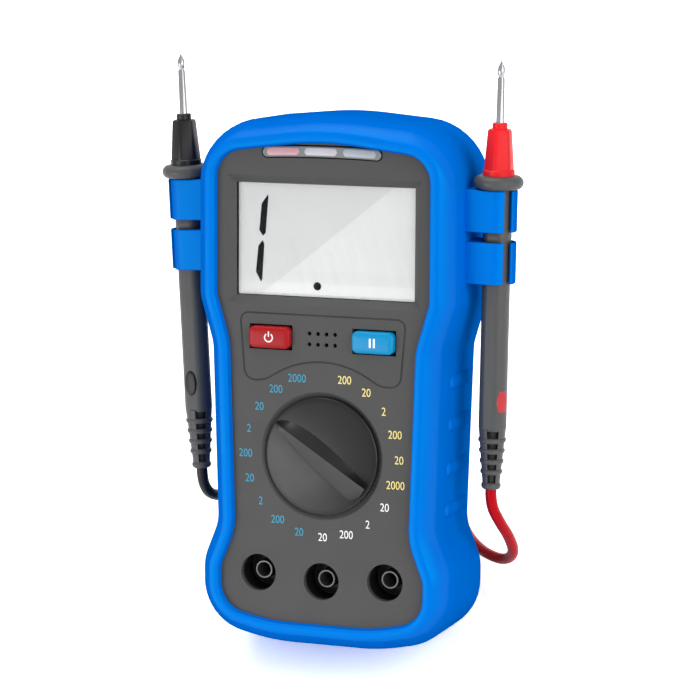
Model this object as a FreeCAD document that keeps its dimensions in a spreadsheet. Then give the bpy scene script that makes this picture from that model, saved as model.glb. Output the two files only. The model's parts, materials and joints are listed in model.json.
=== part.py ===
import FreeCAD, Part
import math
import os
import re

from FreeCAD import Placement, Rotation, Vector

# Handheld component tester in a rubber holster, leaning back on its tilt stand, two test probes in its clips.
# Device frame: x to the right, y along the meter towards its top, z out of the front, all from the holster's
# lower back edge. The finished pieces are then leaned back onto the floor, z = 0 of the part's frame.

# Driving sizes, in millimetres and degrees
SIZES = {
    # Holster and its outline
    "body_length": 150.4,
    "body_half": 38.8,
    "body_depth": 38.0,
    "waist_half": 33.3,
    "waist_spread": 1.6,
    "waist_low": 34.4,
    "waist_high": 85.4,
    "heel_half": 37.6,
    "swell_low": 23.4,
    "swell_high": 98.9,
    "swell_radius": 13.0,
    "foot_half": 16.0,
    "foot_rise": 4.6,
    "foot_radius": 60.0,
    "heel_radius": 15.5,
    "crown_drop": 5.0,
    "crown_radius": 90.0,
    "shoulder_radius": 15.0,
    "edge_radius": 7.0,
    "holster_wall": 4.0,
    "lip_front": 2.5,
    "lip_back": 2.8,
    "lip_inset": 7.2,
    "back_inset": 8.0,
    "lean_angle": 28.0,
    "origin_back": 18.5,
    # Case shells
    "case_gap": 0.2,
    "case_wall": 2.0,
    "parting_level": 20.0,
    "overcut": 1.0,
    # Circuit board
    "board_gap": 0.7,
    "board_level": 24.0,
    "board_thick": 1.6,
    "board_boss_radius": 2.4,
    "board_boss_across": 24.0,
    "board_boss_low": 39.4,
    "board_boss_high": 70.4,
    "board_screw_radius": 0.9,
    "board_screw_head": 2.0,
    "board_screw_head_tall": 1.5,
    "board_screw_long": 6.0,
    # Case screws and their posts
    "post_radius": 3.4,
    "post_low_across": 28.0,
    "post_low": 13.0,
    "post_high_across": 25.4,
    "post_high": 79.0,
    "case_screw_radius": 1.15,
    "case_screw_head": 2.4,
    "case_screw_head_tall": 2.0,
    "case_screw_seat": 10.0,
    "case_screw_long": 19.0,
    "screw_gap": 0.05,
    "part_gap": 0.25,
    # Display
    "display_middle": 115.6,
    "display_half": 26.5,
    "display_half_tall": 15.8,
    "bezel_slope": 2.2,
    "window_border": 2.0,
    "window_thick": 1.2,
    "glass_thick": 2.0,
    "glass_inset": 0.5,
    "light_thick": 2.7,
    "light_short": 5.0,
    "holder_wall": 1.3,
    "strip_thick": 2.0,
    "strip_short": 5.0,
    # Indicator strip
    "lens_middle": 140.7,
    "lens_half": 17.0,
    "lens_tall": 3.6,
    "lens_proud": 0.4,
    "lens_deep": 4.0,
    "led_radius": 1.5,
    "led_pitch": 9.5,
    # Buttons and transistor socket
    "button_middle": 88.4,
    "button_across": 15.4,
    "button_wide": 12.4,
    "button_tall": 6.6,
    "button_proud": 1.8,
    "button_rim": 1.0,
    "button_rim_thick": 1.0,
    "switch_wide": 7.0,
    "switch_tall": 4.2,
    "plunger_radius": 1.5,
    "plunger_deep": 2.2,
    "plunger_gap": 0.1,
    "power_travel": 1.5,
    "hold_travel": 1.0,
    "socket_wide": 12.0,
    "socket_deep": 7.6,
    "leg_pitch": 2.54,
    "leg_rows": 3.04,
    "leg_hole": 0.6,
    "leg_hole_deep": 6.0,
    # Rotary switch
    "dial_middle": 55.4,
    "dial_radius": 16.8,
    "dial_top_radius": 16.3,
    "dial_thick": 1.3,
    "dial_lift": 0.3,
    "dial_sunk": 1.0,
    "dial_gap": 0.4,
    "dial_bar_reach": 16.0,
    "dial_bar_wide": 8.4,
    "dial_bar_tail": 5.6,
    "dial_bar_tall": 2.8,
    "dial_turn": 144.0,
    "shaft_radius": 3.5,
    "shaft_gap": 0.08,
    "rotor_radius": 13.5,
    "rotor_thick": 3.0,
    "rotor_lift": 1.6,
    "detent_radius": 10.5,
    "ball_radius": 1.2,
    "spring_radius": 1.1,
    "spring_hole": 0.6,
    "spring_tall": 2.2,
    "pocket_gap": 0.1,
    "wiper_long": 5.0,
    "wiper_wide": 1.4,
    "wiper_circle": 8.0,
    "wiper_gap": 0.05,
    # Input jacks
    "jack_pitch": 19.05,
    "jack_middle": 20.8,
    "jack_dip": 1.2,
    "jack_cup": 5.3,
    "jack_bore": 2.0,
    "jack_wall": 0.6,
    "jack_sunk": 4.3,
    "jack_long": 15.2,
    "jack_floor": 1.0,
    "housing_wide": 49.8,
    "housing_deep": 14.4,
    # Battery, door, fuse and chip
    "battery_wide": 26.5,
    "battery_long": 48.5,
    "battery_tall": 17.5,
    "battery_middle": 50.7,
    "battery_gap": 0.1,
    "stud_radius": 2.8,
    "stud_long": 2.6,
    "stud_across": 6.35,
    "snap_thick": 3.0,
    "snap_tall": 12.0,
    "wire_radius": 0.7,
    "door_wide": 33.0,
    "door_long": 58.0,
    "door_middle": 47.9,
    "door_thick": 1.2,
    "door_gap": 0.2,
    "door_hole_room": 1.0,
    "door_screw_at": 22.2,
    "door_screw_radius": 1.1,
    "door_screw_head": 2.2,
    "door_screw_head_tall": 0.7,
    "door_screw_long": 6.0,
    "door_boss_radius": 2.6,
    "door_boss_tall": 7.0,
    "rib_thick": 1.2,
    "rib_tall": 10.0,
    "fuse_radius": 2.6,
    "fuse_long": 20.0,
    "fuse_at": 110.4,
    "fuse_drop": 3.6,
    "fuse_clip_wide": 3.0,
    "fuse_clip_deep": 7.0,
    "chip_side": 14.0,
    "chip_thick": 1.4,
    "chip_at": 124.4,
    # Tilt stand
    "stand_half": 11.0,
    "stand_thick": 2.5,
    "stand_sunk": 2.6,
    "stand_open": 36.0,
    "stand_hole_wide": 9.0,
    "stand_hole_long": 34.0,
    "stand_hole_at": 42.0,
    "stand_neck": 4.0,
    "hinge_at": 84.4,
    "hinge_level": 5.2,
    "hinge_barrel": 2.2,
    "hinge_pin": 1.2,
    "hinge_pin_long": 2.6,
    "hinge_gap": 0.08,
    "pocket_side": 0.4,
    "pocket_low": 4.5,
    "pocket_high": 4.2,
    "pocket_deep": 2.8,
    "pocket_wall": 1.8,
    "pocket_cheek": 5.5,
    # Probe clips and probes
    "seat_across": 46.7,
    "seat_along": 131.0,
    "seat_level": 22.3,
    "red_probe_out": 1.4,
    "black_probe_out": 2.2,
    "probe_forward": 2.0,
    "clip_room": 0.35,
    "clip_wall": 1.15,
    "clip_tall": 11.6,
    "clip_space": 2.8,
    "clip_neck": 10.0,
    "clip_slit": 1.8,
    "clip_slit_turn": 40.0,
    "probe_rest": 0.1,
    "guard_radius": 7.0,
    "guard_thick": 3.8,
    "handle_radius": 3.9,
    "handle_long": 67.4,
    "ridge_rise": 0.1,
    "ridge_at": 13.0,
    "ridge_thick": 1.2,
    "relief_long": 17.1,
    "relief_radius": 2.4,
    "cap_base": 4.4,
    "cap_top": 3.4,
    "cap_tall": 12.6,
    "collar_radius": 2.1,
    "collar_tall": 1.9,
    "needle_radius": 1.15,
    "needle_top": 35.4,
    "needle_neck": 0.75,
    "needle_head": 4.6,
    "needle_rooted": 12.0,
    "needle_gap": 0.05,
    "inlay_at": 59.2,
    "inlay_radius": 1.7,
    "inlay_deep": 1.0,
    "red_inlay_turn": 60.0,
    "black_inlay_turn": 10.0,
    # Test leads
    "lead_radius": 1.6,
    "red_lead_exit": 4.5,
    "black_lead_exit": 3.2,
    "coil_middle": 17.0,
    "coil_lift": 0.6,
    "tie_wide": 4.0,
    "tie_gap": 0.25,
    "tie_thick": 0.5,
    "plug_radius": 5.0,
    "plug_long": 26.0,
    "plug_bore": 3.3,
    "plug_bore_deep": 17.0,
    "plug_tail": 10.0,
    "plug_tail_radius": 2.2,
    "plug_pin_radius": 2.0,
    "plug_pin_inset": 2.0,
    "plug_overhang": 16.0,
    "plug_aside": 4.0,
}


def work_out(sizes):
    """Levels and lengths that follow from the driving sizes."""
    lean = math.radians(sizes["lean_angle"])
    swing = math.radians(sizes["stand_open"] - sizes["lean_angle"])
    sizes["panel_level"] = sizes["body_depth"] - sizes["lip_front"]
    sizes["ceiling_level"] = sizes["panel_level"] - sizes["case_wall"]
    sizes["floor_level"] = sizes["lip_back"] + sizes["case_wall"]
    sizes["case_inset"] = sizes["holster_wall"] + sizes["case_gap"]
    sizes["inner_inset"] = sizes["case_inset"] + sizes["case_wall"]
    sizes["board_inset"] = sizes["inner_inset"] + sizes["board_gap"]
    sizes["board_top"] = sizes["board_level"] + sizes["board_thick"]
    sizes["window_wide"] = 2 * (sizes["display_half"] + sizes["window_border"])
    sizes["window_tall"] = 2 * (sizes["display_half_tall"] + sizes["window_border"])
    sizes["window_level"] = sizes["ceiling_level"] - sizes["window_thick"]
    sizes["glass_level"] = sizes["window_level"] - sizes["glass_thick"]
    sizes["light_level"] = sizes["glass_level"] - sizes["light_thick"]
    sizes["rotor_level"] = sizes["board_top"] + sizes["rotor_lift"]
    sizes["well_level"] = sizes["panel_level"] - sizes["dial_sunk"]
    sizes["dial_level"] = sizes["well_level"] + sizes["dial_lift"]
    sizes["well_radius"] = sizes["dial_radius"] + sizes["dial_gap"]
    sizes["jack_mouth"] = sizes["panel_level"] - sizes["jack_sunk"]
    sizes["jack_outer"] = sizes["jack_bore"] + sizes["jack_wall"]
    sizes["battery_level"] = sizes["floor_level"] + sizes["battery_gap"]
    sizes["battery_end"] = sizes["battery_middle"] + sizes["battery_long"] / 2
    sizes["door_level"] = sizes["lip_back"] + sizes["door_thick"]
    sizes["door_hole_wide"] = sizes["battery_wide"] + sizes["door_hole_room"]
    sizes["door_hole_long"] = sizes["battery_long"] + sizes["door_hole_room"]
    sizes["clip_bore"] = sizes["handle_radius"] + sizes["clip_room"]
    sizes["clip_radius"] = sizes["clip_bore"] + sizes["clip_wall"]
    sizes["ridge_radius"] = sizes["handle_radius"] + sizes["ridge_rise"]
    # The coil is two turns wide and three tall
    sizes["coil_wide"] = 4 * sizes["lead_radius"]
    sizes["coil_tall"] = 6 * sizes["lead_radius"]
    # The rounded lower back edge touches the floor when the meter leans
    sizes["floor_drop"] = sizes["edge_radius"] * (math.cos(lean) + math.sin(lean) - 1)
    hinge_height = (
        sizes["hinge_at"] * math.cos(lean) + sizes["hinge_level"] * math.sin(lean) - sizes["floor_drop"]
    )
    reach = hinge_height + sizes["stand_sunk"] * math.sin(swing)
    sizes["stand_long"] = reach / math.cos(swing)
    return sizes


SIZES = work_out(SIZES)

doc = FreeCAD.newDocument("component_tester")
sheet = doc.addObject("Spreadsheet::Sheet", "Sizes")
for row, (alias, number) in enumerate(SIZES.items(), 1):
    sheet.set(f"A{row}", alias)
    sheet.set(f"B{row}", f"{number:.6f}")
    sheet.setAlias(f"B{row}", alias)
doc.recompute()


def size(alias):
    """A size read back from the sheet."""
    return float(sheet.get(alias))


def bind(thing, prop, formula):
    """Tie a property to a formula over the sheet's names."""
    text = re.sub(r"[a-z][a-z_]+", lambda name: "Sizes." + name.group(0), str(formula))
    thing.setExpression(prop, text)


def block(name, sides, middle):
    """A box: its three sides, its middle in x and y, and its underside."""
    thing = doc.addObject("Part::Box", name)
    for prop, formula in zip(("Length", "Width", "Height"), sides):
        bind(thing, prop, formula)
    bind(thing, "Placement.Base.x", f"{middle[0]} - ({sides[0]}) / 2")
    bind(thing, "Placement.Base.y", f"{middle[1]} - ({sides[1]}) / 2")
    bind(thing, "Placement.Base.z", middle[2])
    return thing


def rod(name, radius, height, foot, axis="z"):
    """A cylinder from its foot point, along +z, +y or +x."""
    thing = doc.addObject("Part::Cylinder", name)
    bind(thing, "Radius", radius)
    bind(thing, "Height", height)
    turns = {"z": Rotation(), "y": Rotation(Vector(1, 0, 0), -90), "x": Rotation(Vector(0, 1, 0), 90)}
    thing.Placement = Placement(Vector(), turns[axis])
    for letter, formula in zip("xyz", foot):
        bind(thing, "Placement.Base." + letter, formula)
    return thing


def cone(name, low, high, height, foot):
    """A cone along +z from its foot point."""
    thing = doc.addObject("Part::Cone", name)
    bind(thing, "Radius1", low)
    bind(thing, "Radius2", high)
    bind(thing, "Height", height)
    for letter, formula in zip("xyz", foot):
        bind(thing, "Placement.Base." + letter, formula)
    return thing


def fuse(name, *things):
    """Several things joined into one solid."""
    joined = doc.addObject("Part::MultiFuse", name)
    joined.Shapes = list(things)
    return joined


def cut(name, base, *tools):
    """A base with the tools taken out of it."""
    left = doc.addObject("Part::Cut", name)
    left.Base = base
    left.Tool = tools[0] if len(tools) == 1 else fuse(name + "_tools", *tools)
    return left


def corner_points(inset):
    """The outline's corners on straight sides, from the right of the foot to the left, moved in by inset."""
    half, waist = size("body_half"), size("waist_half")
    crown = size("crown_radius") * (math.hypot(size("crown_drop"), half) / half - 1)
    right = [
        (size("foot_half"), 0, size("foot_radius")),
        (size("heel_half"), size("foot_rise"), size("heel_radius")),
        (size("heel_half"), size("swell_low"), size("swell_radius")),
        (waist, size("waist_low"), size("swell_radius")),
        (waist + size("waist_spread"), size("waist_high"), size("swell_radius")),
        (half, size("swell_high"), size("swell_radius")),
        (half, size("body_length") + crown - size("crown_drop"), size("shoulder_radius")),
    ]
    top = [(0, size("body_length") + crown, size("crown_radius"))]
    around = right + top + [(-x, y, radius) for x, y, radius in reversed(right)]
    count = len(around)
    moved = []
    for index, (x, y, radius) in enumerate(around):
        before, here, after = (Vector(*around[(index + step) % count][:2], 0) for step in (-1, 0, 1))
        come, go = (here - before).normalize(), (after - here).normalize()
        turn = come.x * go.y - come.y * go.x
        inward = Vector(-come.y - go.y, come.x + go.x, 0).normalize()
        reach = inset / math.cos(come.getAngle(go) / 2)
        moved.append((here + inward * reach, radius - inset if turn > 0 else radius + inset))
    return moved


def outline(inset):
    """Lines and tangent arcs of the waisted outline, moved in by inset."""
    corners = corner_points(inset)
    count = len(corners)
    arcs = []
    for index, (point, radius) in enumerate(corners):
        before, after = corners[index - 1][0], corners[(index + 1) % count][0]
        come, go = (point - before).normalize(), (after - point).normalize()
        half_turn = come.getAngle(go) / 2
        back = radius * math.tan(half_turn)
        start, end = point - come * back, point + go * back
        bow = (go - come).normalize() * (radius / math.cos(half_turn) - radius)
        arcs.append((start, point + bow, end))
    edges = []
    for index, (start, middle, end) in enumerate(arcs):
        edges.append(Part.Arc(start, middle, end))
        edges.append(Part.LineSegment(end, arcs[(index + 1) % count][0]))
    return edges


def sketch_on(body, role, edges):
    """A sketch of the edges on one of the body's own planes."""
    plane = next(feature for feature in body.Origin.OriginFeatures if feature.Role == role)
    sketch = body.newObject("Sketcher::SketchObject", body.Name + "_sketch")
    sketch.AttachmentSupport = [(plane, "")]
    sketch.MapMode = "FlatFace"
    sketch.addGeometry(edges, False)
    return sketch


def slab(name, inset, bottom, height):
    """A plate of the meter's outline moved in by inset, from a bottom level."""
    body = doc.addObject("PartDesign::Body", name)
    sketch = sketch_on(body, "XY_Plane", outline(size(inset) if inset else 0))
    bind(sketch, "AttachmentOffset.Base.z", bottom)
    pad = body.newObject("PartDesign::Pad", name + "_pad")
    pad.Profile = sketch
    bind(pad, "Length", height)
    return body


def turned(name, profile):
    """A body turned about z from (radius, height) points."""
    body = doc.addObject("PartDesign::Body", name)
    points = [Vector(radius, height, 0) for radius, height in profile]
    edges = [Part.LineSegment(a, b) for a, b in zip(points, points[1:] + points[:1])]
    sketch = sketch_on(body, "XZ_Plane", edges)
    turn = body.newObject("PartDesign::Revolution", name + "_turn")
    turn.Profile = sketch
    turn.ReferenceAxis = (sketch, ["V_Axis"])
    turn.Angle = 360
    return body


SIDES = (("red", 1), ("black", -1))
PIECES = {}


def piece(label, place, *things):
    """A finished sub-part: one thing, or a group of separate solids, put in its place."""
    whole = things[0]
    if len(things) > 1 or whole.TypeId in ("Part::Box", "Part::Cylinder", "Part::Sphere"):
        whole = doc.addObject("Part::Compound", label)
        whole.Links = list(things)
    whole.Label = label
    whole.Placement = place
    PIECES[label] = whole


LEAN = Placement(
    Vector(0, -size("origin_back"), -size("floor_drop")),
    Rotation(Vector(1, 0, 0), 90 - size("lean_angle")),
)


def probe_place(word, side):
    """Where a probe's guard sits on its clip, in the device frame, with z along the probe."""
    out = math.radians(size(f"{word}_probe_out"))
    forward = math.radians(size("probe_forward"))
    along = Vector(side * math.tan(out), 1, math.tan(forward))
    seat = Vector(side * size("seat_across"), size("seat_along"), size("seat_level"))
    return Placement(seat, Rotation(Vector(1, 0, 0), Vector(), along.normalize(), "ZXY"))


def probe_lift():
    """The guard's small height above its clip."""
    return Placement(Vector(0, 0, size("probe_rest")), Rotation())


CASE_POSTS = [
    (sign + across, along)
    for sign in ("", "-")
    for across, along in (("post_low_across", "post_low"), ("post_high_across", "post_high"))
]
BOARD_BOSSES = [
    (sign + "board_boss_across", along)
    for sign in ("", "-")
    for along in ("board_boss_low", "board_boss_high")
]
JACKS = {
    "left": ("-jack_pitch", "jack_middle"),
    "middle": ("0", "jack_middle - jack_dip"),
    "right": ("jack_pitch", "jack_middle"),
}
BUTTONS = {"power": "-button_across", "hold": "button_across"}
LEGS = [
    (f"leg_pitch * {column}", f"button_middle + leg_rows * {row}")
    for row in (-0.5, 0.5)
    for column in (-1.5, -0.5, 0.5, 1.5)
]


def rods(name, radius, height, places, level):
    """The same upright cylinder at several places."""
    return [rod(f"{name}_{n}", radius, height, (x, y, level)) for n, (x, y) in enumerate(places, 1)]


def stadium(name, grow, height, bottom):
    """The indicator lens's round-ended bar, grown all round, from a bottom level."""
    reach = "(lens_half - lens_tall / 2)"
    radius = f"lens_tall / 2 + {grow}"
    bar = block(
        f"{name}_bar", (f"{reach} * 2", f"lens_tall + {grow} * 2", height), ("0", "lens_middle", bottom)
    )
    ends = rods(f"{name}_end", radius, height, [(reach, "lens_middle"), ("-" + reach, "lens_middle")], bottom)
    return fuse(name + "_whole", bar, *ends)


def clip_pair(word, side):
    """Two C-shaped clips on one neck, bored for the probe, in that probe's own frame."""
    sign = "" if side > 0 else "-"
    solids = []
    for number, top in ((1, "0"), (2, "-clip_tall - clip_space")):
        bottom = f"{top} - clip_tall"
        ring = rod(f"clip_ring_{word}_{number}", "clip_radius", "clip_tall", ("0", "0", bottom))
        neck = block(
            f"clip_neck_{word}_{number}",
            ("clip_neck", "clip_radius * 2", "clip_tall"),
            (f"-({sign}clip_neck) / 2", "0", bottom),
        )
        solids += [ring, neck]
    tall = "clip_tall * 2 + clip_space + overcut * 2"
    foot = "-clip_tall * 2 - clip_space - overcut"
    bore = rod(f"clip_bore_{word}", "clip_bore", tall, ("0", "0", foot))
    slit = doc.addObject("Part::Box", f"clip_slit_{word}")
    bind(slit, "Length", "clip_radius * 2")
    bind(slit, "Width", "clip_slit")
    bind(slit, "Height", tall)
    heading = -size("clip_slit_turn") if side > 0 else 180 + size("clip_slit_turn")
    turn = Rotation(Vector(0, 0, 1), heading)
    bottom = -2 * size("clip_tall") - size("clip_space") - size("overcut")
    slit.Placement = Placement(turn.multVec(Vector(0, -size("clip_slit") / 2, bottom)), turn)
    pair = cut(f"clips_{word}", fuse(f"clips_{word}_blank", *solids), bore, slit)
    pair.Placement = probe_place(word, side)
    return pair


def holster():
    """Rubber boot: rounded shell over the case, open at the front and back, with two clips each side."""
    blank = slab("holster_blank", None, "0", "body_depth")
    doc.recompute()
    pad = blank.Tip
    rims = [
        f"Edge{number}" for number, edge in enumerate(pad.Shape.Edges, 1)
        if edge.BoundBox.ZLength < size("edge_radius")
    ]
    rounding = blank.newObject("PartDesign::Fillet", "holster_rounding")
    rounding.Base = (pad, rims)
    bind(rounding, "Radius", "edge_radius")
    cavity = slab("holster_cavity", "holster_wall", "lip_back", "panel_level - lip_back")
    mouth = slab("holster_mouth", "lip_inset", "panel_level - overcut", "lip_front + overcut * 2")
    window = slab("holster_window", "back_inset", "-overcut", "lip_back + overcut * 2")
    notch = stadium("holster_notch", "part_gap", "lip_front + overcut * 2", "panel_level - overcut")
    shell = cut("holster_shell", blank, cavity, mouth, window, notch)
    piece("holster", LEAN, fuse("holster", shell, *[clip_pair(word, side) for word, side in SIDES]))


def front_case():
    """Panel shell with bosses, and holes for the display, lens, buttons, sockets, dial and jacks."""
    blank = slab("front_blank", "case_inset", "parting_level", "panel_level - parting_level")
    hollow = slab(
        "front_hollow", "inner_inset", "parting_level - overcut", "ceiling_level - parting_level + overcut"
    )
    shell = cut("front_shell", blank, hollow)
    posts = rods("front_post", "post_radius", "ceiling_level - parting_level", CASE_POSTS, "parting_level")
    bosses = rods("front_boss", "board_boss_radius", "ceiling_level - board_top", BOARD_BOSSES, "board_top")
    holes = rods(
        "front_post_hole", "case_screw_radius + screw_gap",
        "case_screw_long - parting_level + case_screw_seat", CASE_POSTS, "parting_level",
    )
    holes += rods(
        "front_boss_hole", "board_screw_radius + screw_gap", "board_screw_long",
        BOARD_BOSSES, "board_top - overcut",
    )
    through = "case_wall + overcut * 2"
    under = "ceiling_level - overcut"
    holes += rods("front_leg_hole", "leg_hole", through, LEGS, under)
    holes += rods("front_jack_hole", "jack_cup", through, JACKS.values(), under)
    holes.append(rod(
        "front_shaft_hole", "shaft_radius + shaft_gap", through, ("0", "dial_middle", under)
    ))
    holes.append(cone(
        "front_dial_well", "well_radius", "well_radius + dial_sunk * 2", "dial_sunk * 2",
        ("0", "dial_middle", "well_level"),
    ))
    for word, across in BUTTONS.items():
        holes.append(block(
            f"front_{word}_hole",
            ("button_wide + part_gap * 2", "button_tall + part_gap * 2", through),
            (across, "button_middle", under),
        ))
    holes.append(stadium("front_lens_hole", "screw_gap", through, under))
    bezel = doc.addObject("Part::Wedge", "front_bezel")
    for prop, formula in {
        "Xmin": "-display_half", "Xmax": "display_half",
        "Zmin": "-display_half_tall", "Zmax": "display_half_tall",
        "X2min": "-display_half - bezel_slope", "X2max": "display_half + bezel_slope",
        "Z2min": "-display_half_tall - bezel_slope", "Z2max": "display_half_tall + bezel_slope",
        "Ymin": "0", "Ymax": "case_wall",
    }.items():
        bind(bezel, prop, formula)
    bezel.Placement = Placement(Vector(), Rotation(Vector(1, 0, 0), 90))
    bind(bezel, "Placement.Base.y", "display_middle")
    bind(bezel, "Placement.Base.z", "ceiling_level")
    whole = fuse("front_whole", shell, *posts, *bosses)
    piece("front_case", LEAN, cut("front_case", whole, bezel, *holes))


def rear_case():
    """Back shell with screw posts, door seat, battery ribs and the stand's hinge pocket."""
    blank = slab("rear_blank", "case_inset", "lip_back", "parting_level - lip_back")
    hollow = slab("rear_hollow", "inner_inset", "floor_level", "parting_level - floor_level + overcut")
    shell = cut("rear_shell", blank, hollow)
    posts = rods("rear_post", "post_radius", "parting_level - lip_back", CASE_POSTS, "lip_back")
    boss = rod("rear_door_boss", "door_boss_radius", "door_boss_tall", ("0", "door_screw_at", "door_level"))
    ribs = [
        block(
            f"rear_rib_{word}", ("rib_thick", "battery_long", "rib_tall"),
            (f"{sign}((battery_wide + rib_thick) / 2 + battery_gap)", "battery_middle", "door_level"),
        )
        for word, sign in (("right", ""), ("left", "-"))
    ]
    cheek = block(
        "rear_hinge_box",
        ("(stand_half + pocket_cheek) * 2", "pocket_low + pocket_high + pocket_wall * 2",
         "hinge_level + pocket_deep + pocket_wall - lip_back"),
        ("0", "hinge_at + (pocket_high - pocket_low) / 2", "lip_back"),
    )
    pocket = block(
        "rear_hinge_pocket",
        ("(stand_half + pocket_side) * 2", "pocket_low + pocket_high",
         "hinge_level + pocket_deep - lip_back + overcut"),
        ("0", "hinge_at + (pocket_high - pocket_low) / 2", "lip_back - overcut"),
    )
    pin_hole = rod(
        "rear_pin_hole", "hinge_pin + hinge_gap", "(stand_half + hinge_pin_long + pocket_side) * 2",
        ("-stand_half - hinge_pin_long - pocket_side", "hinge_at", "hinge_level"), "x",
    )
    seat = block(
        "rear_door_seat", ("door_wide + door_gap * 2", "door_long + door_gap * 2", "door_thick + overcut"),
        ("0", "door_middle", "lip_back - overcut"),
    )
    doorway = block(
        "rear_doorway", ("door_hole_wide", "door_hole_long", "case_wall + overcut * 2"),
        ("0", "battery_middle", "lip_back - overcut"),
    )
    holes = rods(
        "rear_head_hole", "case_screw_head + part_gap", "case_screw_seat - lip_back + overcut",
        CASE_POSTS, "lip_back - overcut",
    )
    holes += rods(
        "rear_shank_hole", "case_screw_radius + part_gap", "parting_level - lip_back",
        CASE_POSTS, "lip_back + overcut",
    )
    holes.append(rod(
        "rear_door_screw_hole", "door_screw_radius + screw_gap", "door_screw_long",
        ("0", "door_screw_at", "lip_back + door_screw_head_tall"),
    ))
    whole = fuse("rear_whole", shell, *posts, boss, *ribs, cheek)
    piece("rear_case", LEAN, cut("rear_case", whole, pocket, pin_hole, seat, doorway, *holes))


def screw(name, head, head_tall, shank, shank_long, place, head_level):
    """A pan-head screw pointing to the front, its head's underside at head_level + head_tall."""
    x, y = place
    inside = f"{head_tall} / 2"
    top = rod(name + "_head", head, head_tall, (x, y, head_level))
    stem = rod(name + "_stem", shank, f"{shank_long} + {inside}", (x, y, f"{head_level} + {inside}"))
    return fuse(name, top, stem)


def fasteners():
    """Case screws, board screws and the door screw."""
    piece("case_screws", LEAN, *[
        screw(
            f"case_screw_{n}", "case_screw_head", "case_screw_head_tall", "case_screw_radius",
            "case_screw_long - overcut", place, "case_screw_seat - case_screw_head_tall",
        )
        for n, place in enumerate(CASE_POSTS, 1)
    ])
    piece("board_screws", LEAN, *[
        screw(
            f"board_screw_{n}", "board_screw_head", "board_screw_head_tall", "board_screw_radius",
            "board_screw_long", place, "board_level - board_screw_head_tall",
        )
        for n, place in enumerate(BOARD_BOSSES, 1)
    ])
    piece("battery_door_screw", LEAN, screw(
        "door_screw", "door_screw_head", "door_screw_head_tall", "door_screw_radius",
        "door_screw_long - overcut", ("0", "door_screw_at"), "lip_back",
    ))


def battery_and_door():
    """Battery on its door, with the snap on its studs and two wires up to the board."""
    plate = block(
        "door_plate", ("door_wide", "door_long", "door_thick"), ("0", "door_middle", "lip_back")
    )
    sink = rod(
        "door_sink", "door_screw_head + part_gap", "door_screw_head_tall + overcut",
        ("0", "door_screw_at", "lip_back - overcut"),
    )
    through = rod(
        "door_through", "door_screw_radius + screw_gap", "door_thick + overcut",
        ("0", "door_screw_at", "lip_back"),
    )
    piece("battery_door", LEAN, cut("battery_door", plate, sink, through))
    cell = block(
        "battery_cell", ("battery_wide", "battery_long", "battery_tall"),
        ("0", "battery_middle", "battery_level"),
    )
    middle = "battery_level + battery_tall / 2"
    studs = [
        rod(f"battery_stud_{word}", "stud_radius", "stud_long + overcut",
            (sign + "stud_across", "battery_end - overcut", middle), "y")
        for word, sign in (("right", ""), ("left", "-"))
    ]
    piece("battery", LEAN, fuse("battery", cell, *studs))
    snap = block(
        "snap_plate", ("battery_wide", "snap_thick", "snap_tall"),
        ("0", "battery_end + snap_thick / 2", f"{middle} - snap_tall / 2"),
    )
    cups = [
        rod(f"snap_cup_{word}", "stud_radius + screw_gap", "stud_long + screw_gap",
            (sign + "stud_across", "battery_end", middle), "y")
        for word, sign in (("right", ""), ("left", "-"))
    ]
    piece("battery_snap", LEAN, cut("battery_snap", snap, *cups))
    snap_top = f"{middle} + snap_tall / 2"
    piece("battery_wires", LEAN, *[
        rod(f"battery_wire_{word}", "wire_radius", f"board_level - ({snap_top})",
            (sign + "stud_across", "battery_end + snap_thick / 2", snap_top))
        for word, sign in (("red", ""), ("black", "-"))
    ])


def circuit_board():
    """Board with clearance for posts, screws and jacks, and its chip, fuse and fuse clips underneath."""
    plate = slab("board_plate", "board_inset", "board_level", "board_thick")
    tall = "board_thick + overcut * 2"
    under = "board_level - overcut"
    holes = rods("board_post_hole", "post_radius + part_gap", tall, CASE_POSTS, under)
    holes += rods("board_screw_hole", "board_screw_radius + part_gap", tall, BOARD_BOSSES, under)
    holes += rods("board_jack_hole", "jack_outer + screw_gap", tall, JACKS.values(), under)
    piece("circuit_board", LEAN, cut("circuit_board", plate, *holes))
    piece("meter_chip", LEAN, block(
        "chip_block", ("chip_side", "chip_side", "chip_thick"), ("0", "chip_at", "board_level - chip_thick")
    ))
    level = "board_level - fuse_drop"
    piece("fuse", LEAN, rod(
        "fuse_tube", "fuse_radius", "fuse_long", ("-fuse_long / 2", "fuse_at", level), "x"
    ))
    clips = []
    for word, sign in (("right", ""), ("left", "-")):
        lump = block(
            f"fuse_clip_block_{word}", ("fuse_clip_wide", "fuse_clip_deep", "fuse_drop + fuse_radius / 2"),
            (f"{sign}(fuse_long - fuse_clip_wide) / 2", "fuse_at", f"{level} - fuse_radius / 2"),
        )
        bore = rod(
            f"fuse_clip_bore_{word}", "fuse_radius + screw_gap", "fuse_long + overcut * 2",
            ("-fuse_long / 2 - overcut", "fuse_at", level), "x",
        )
        clips.append(cut(f"fuse_clip_{word}", lump, bore))
    piece("fuse_clips", LEAN, *clips)


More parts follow.
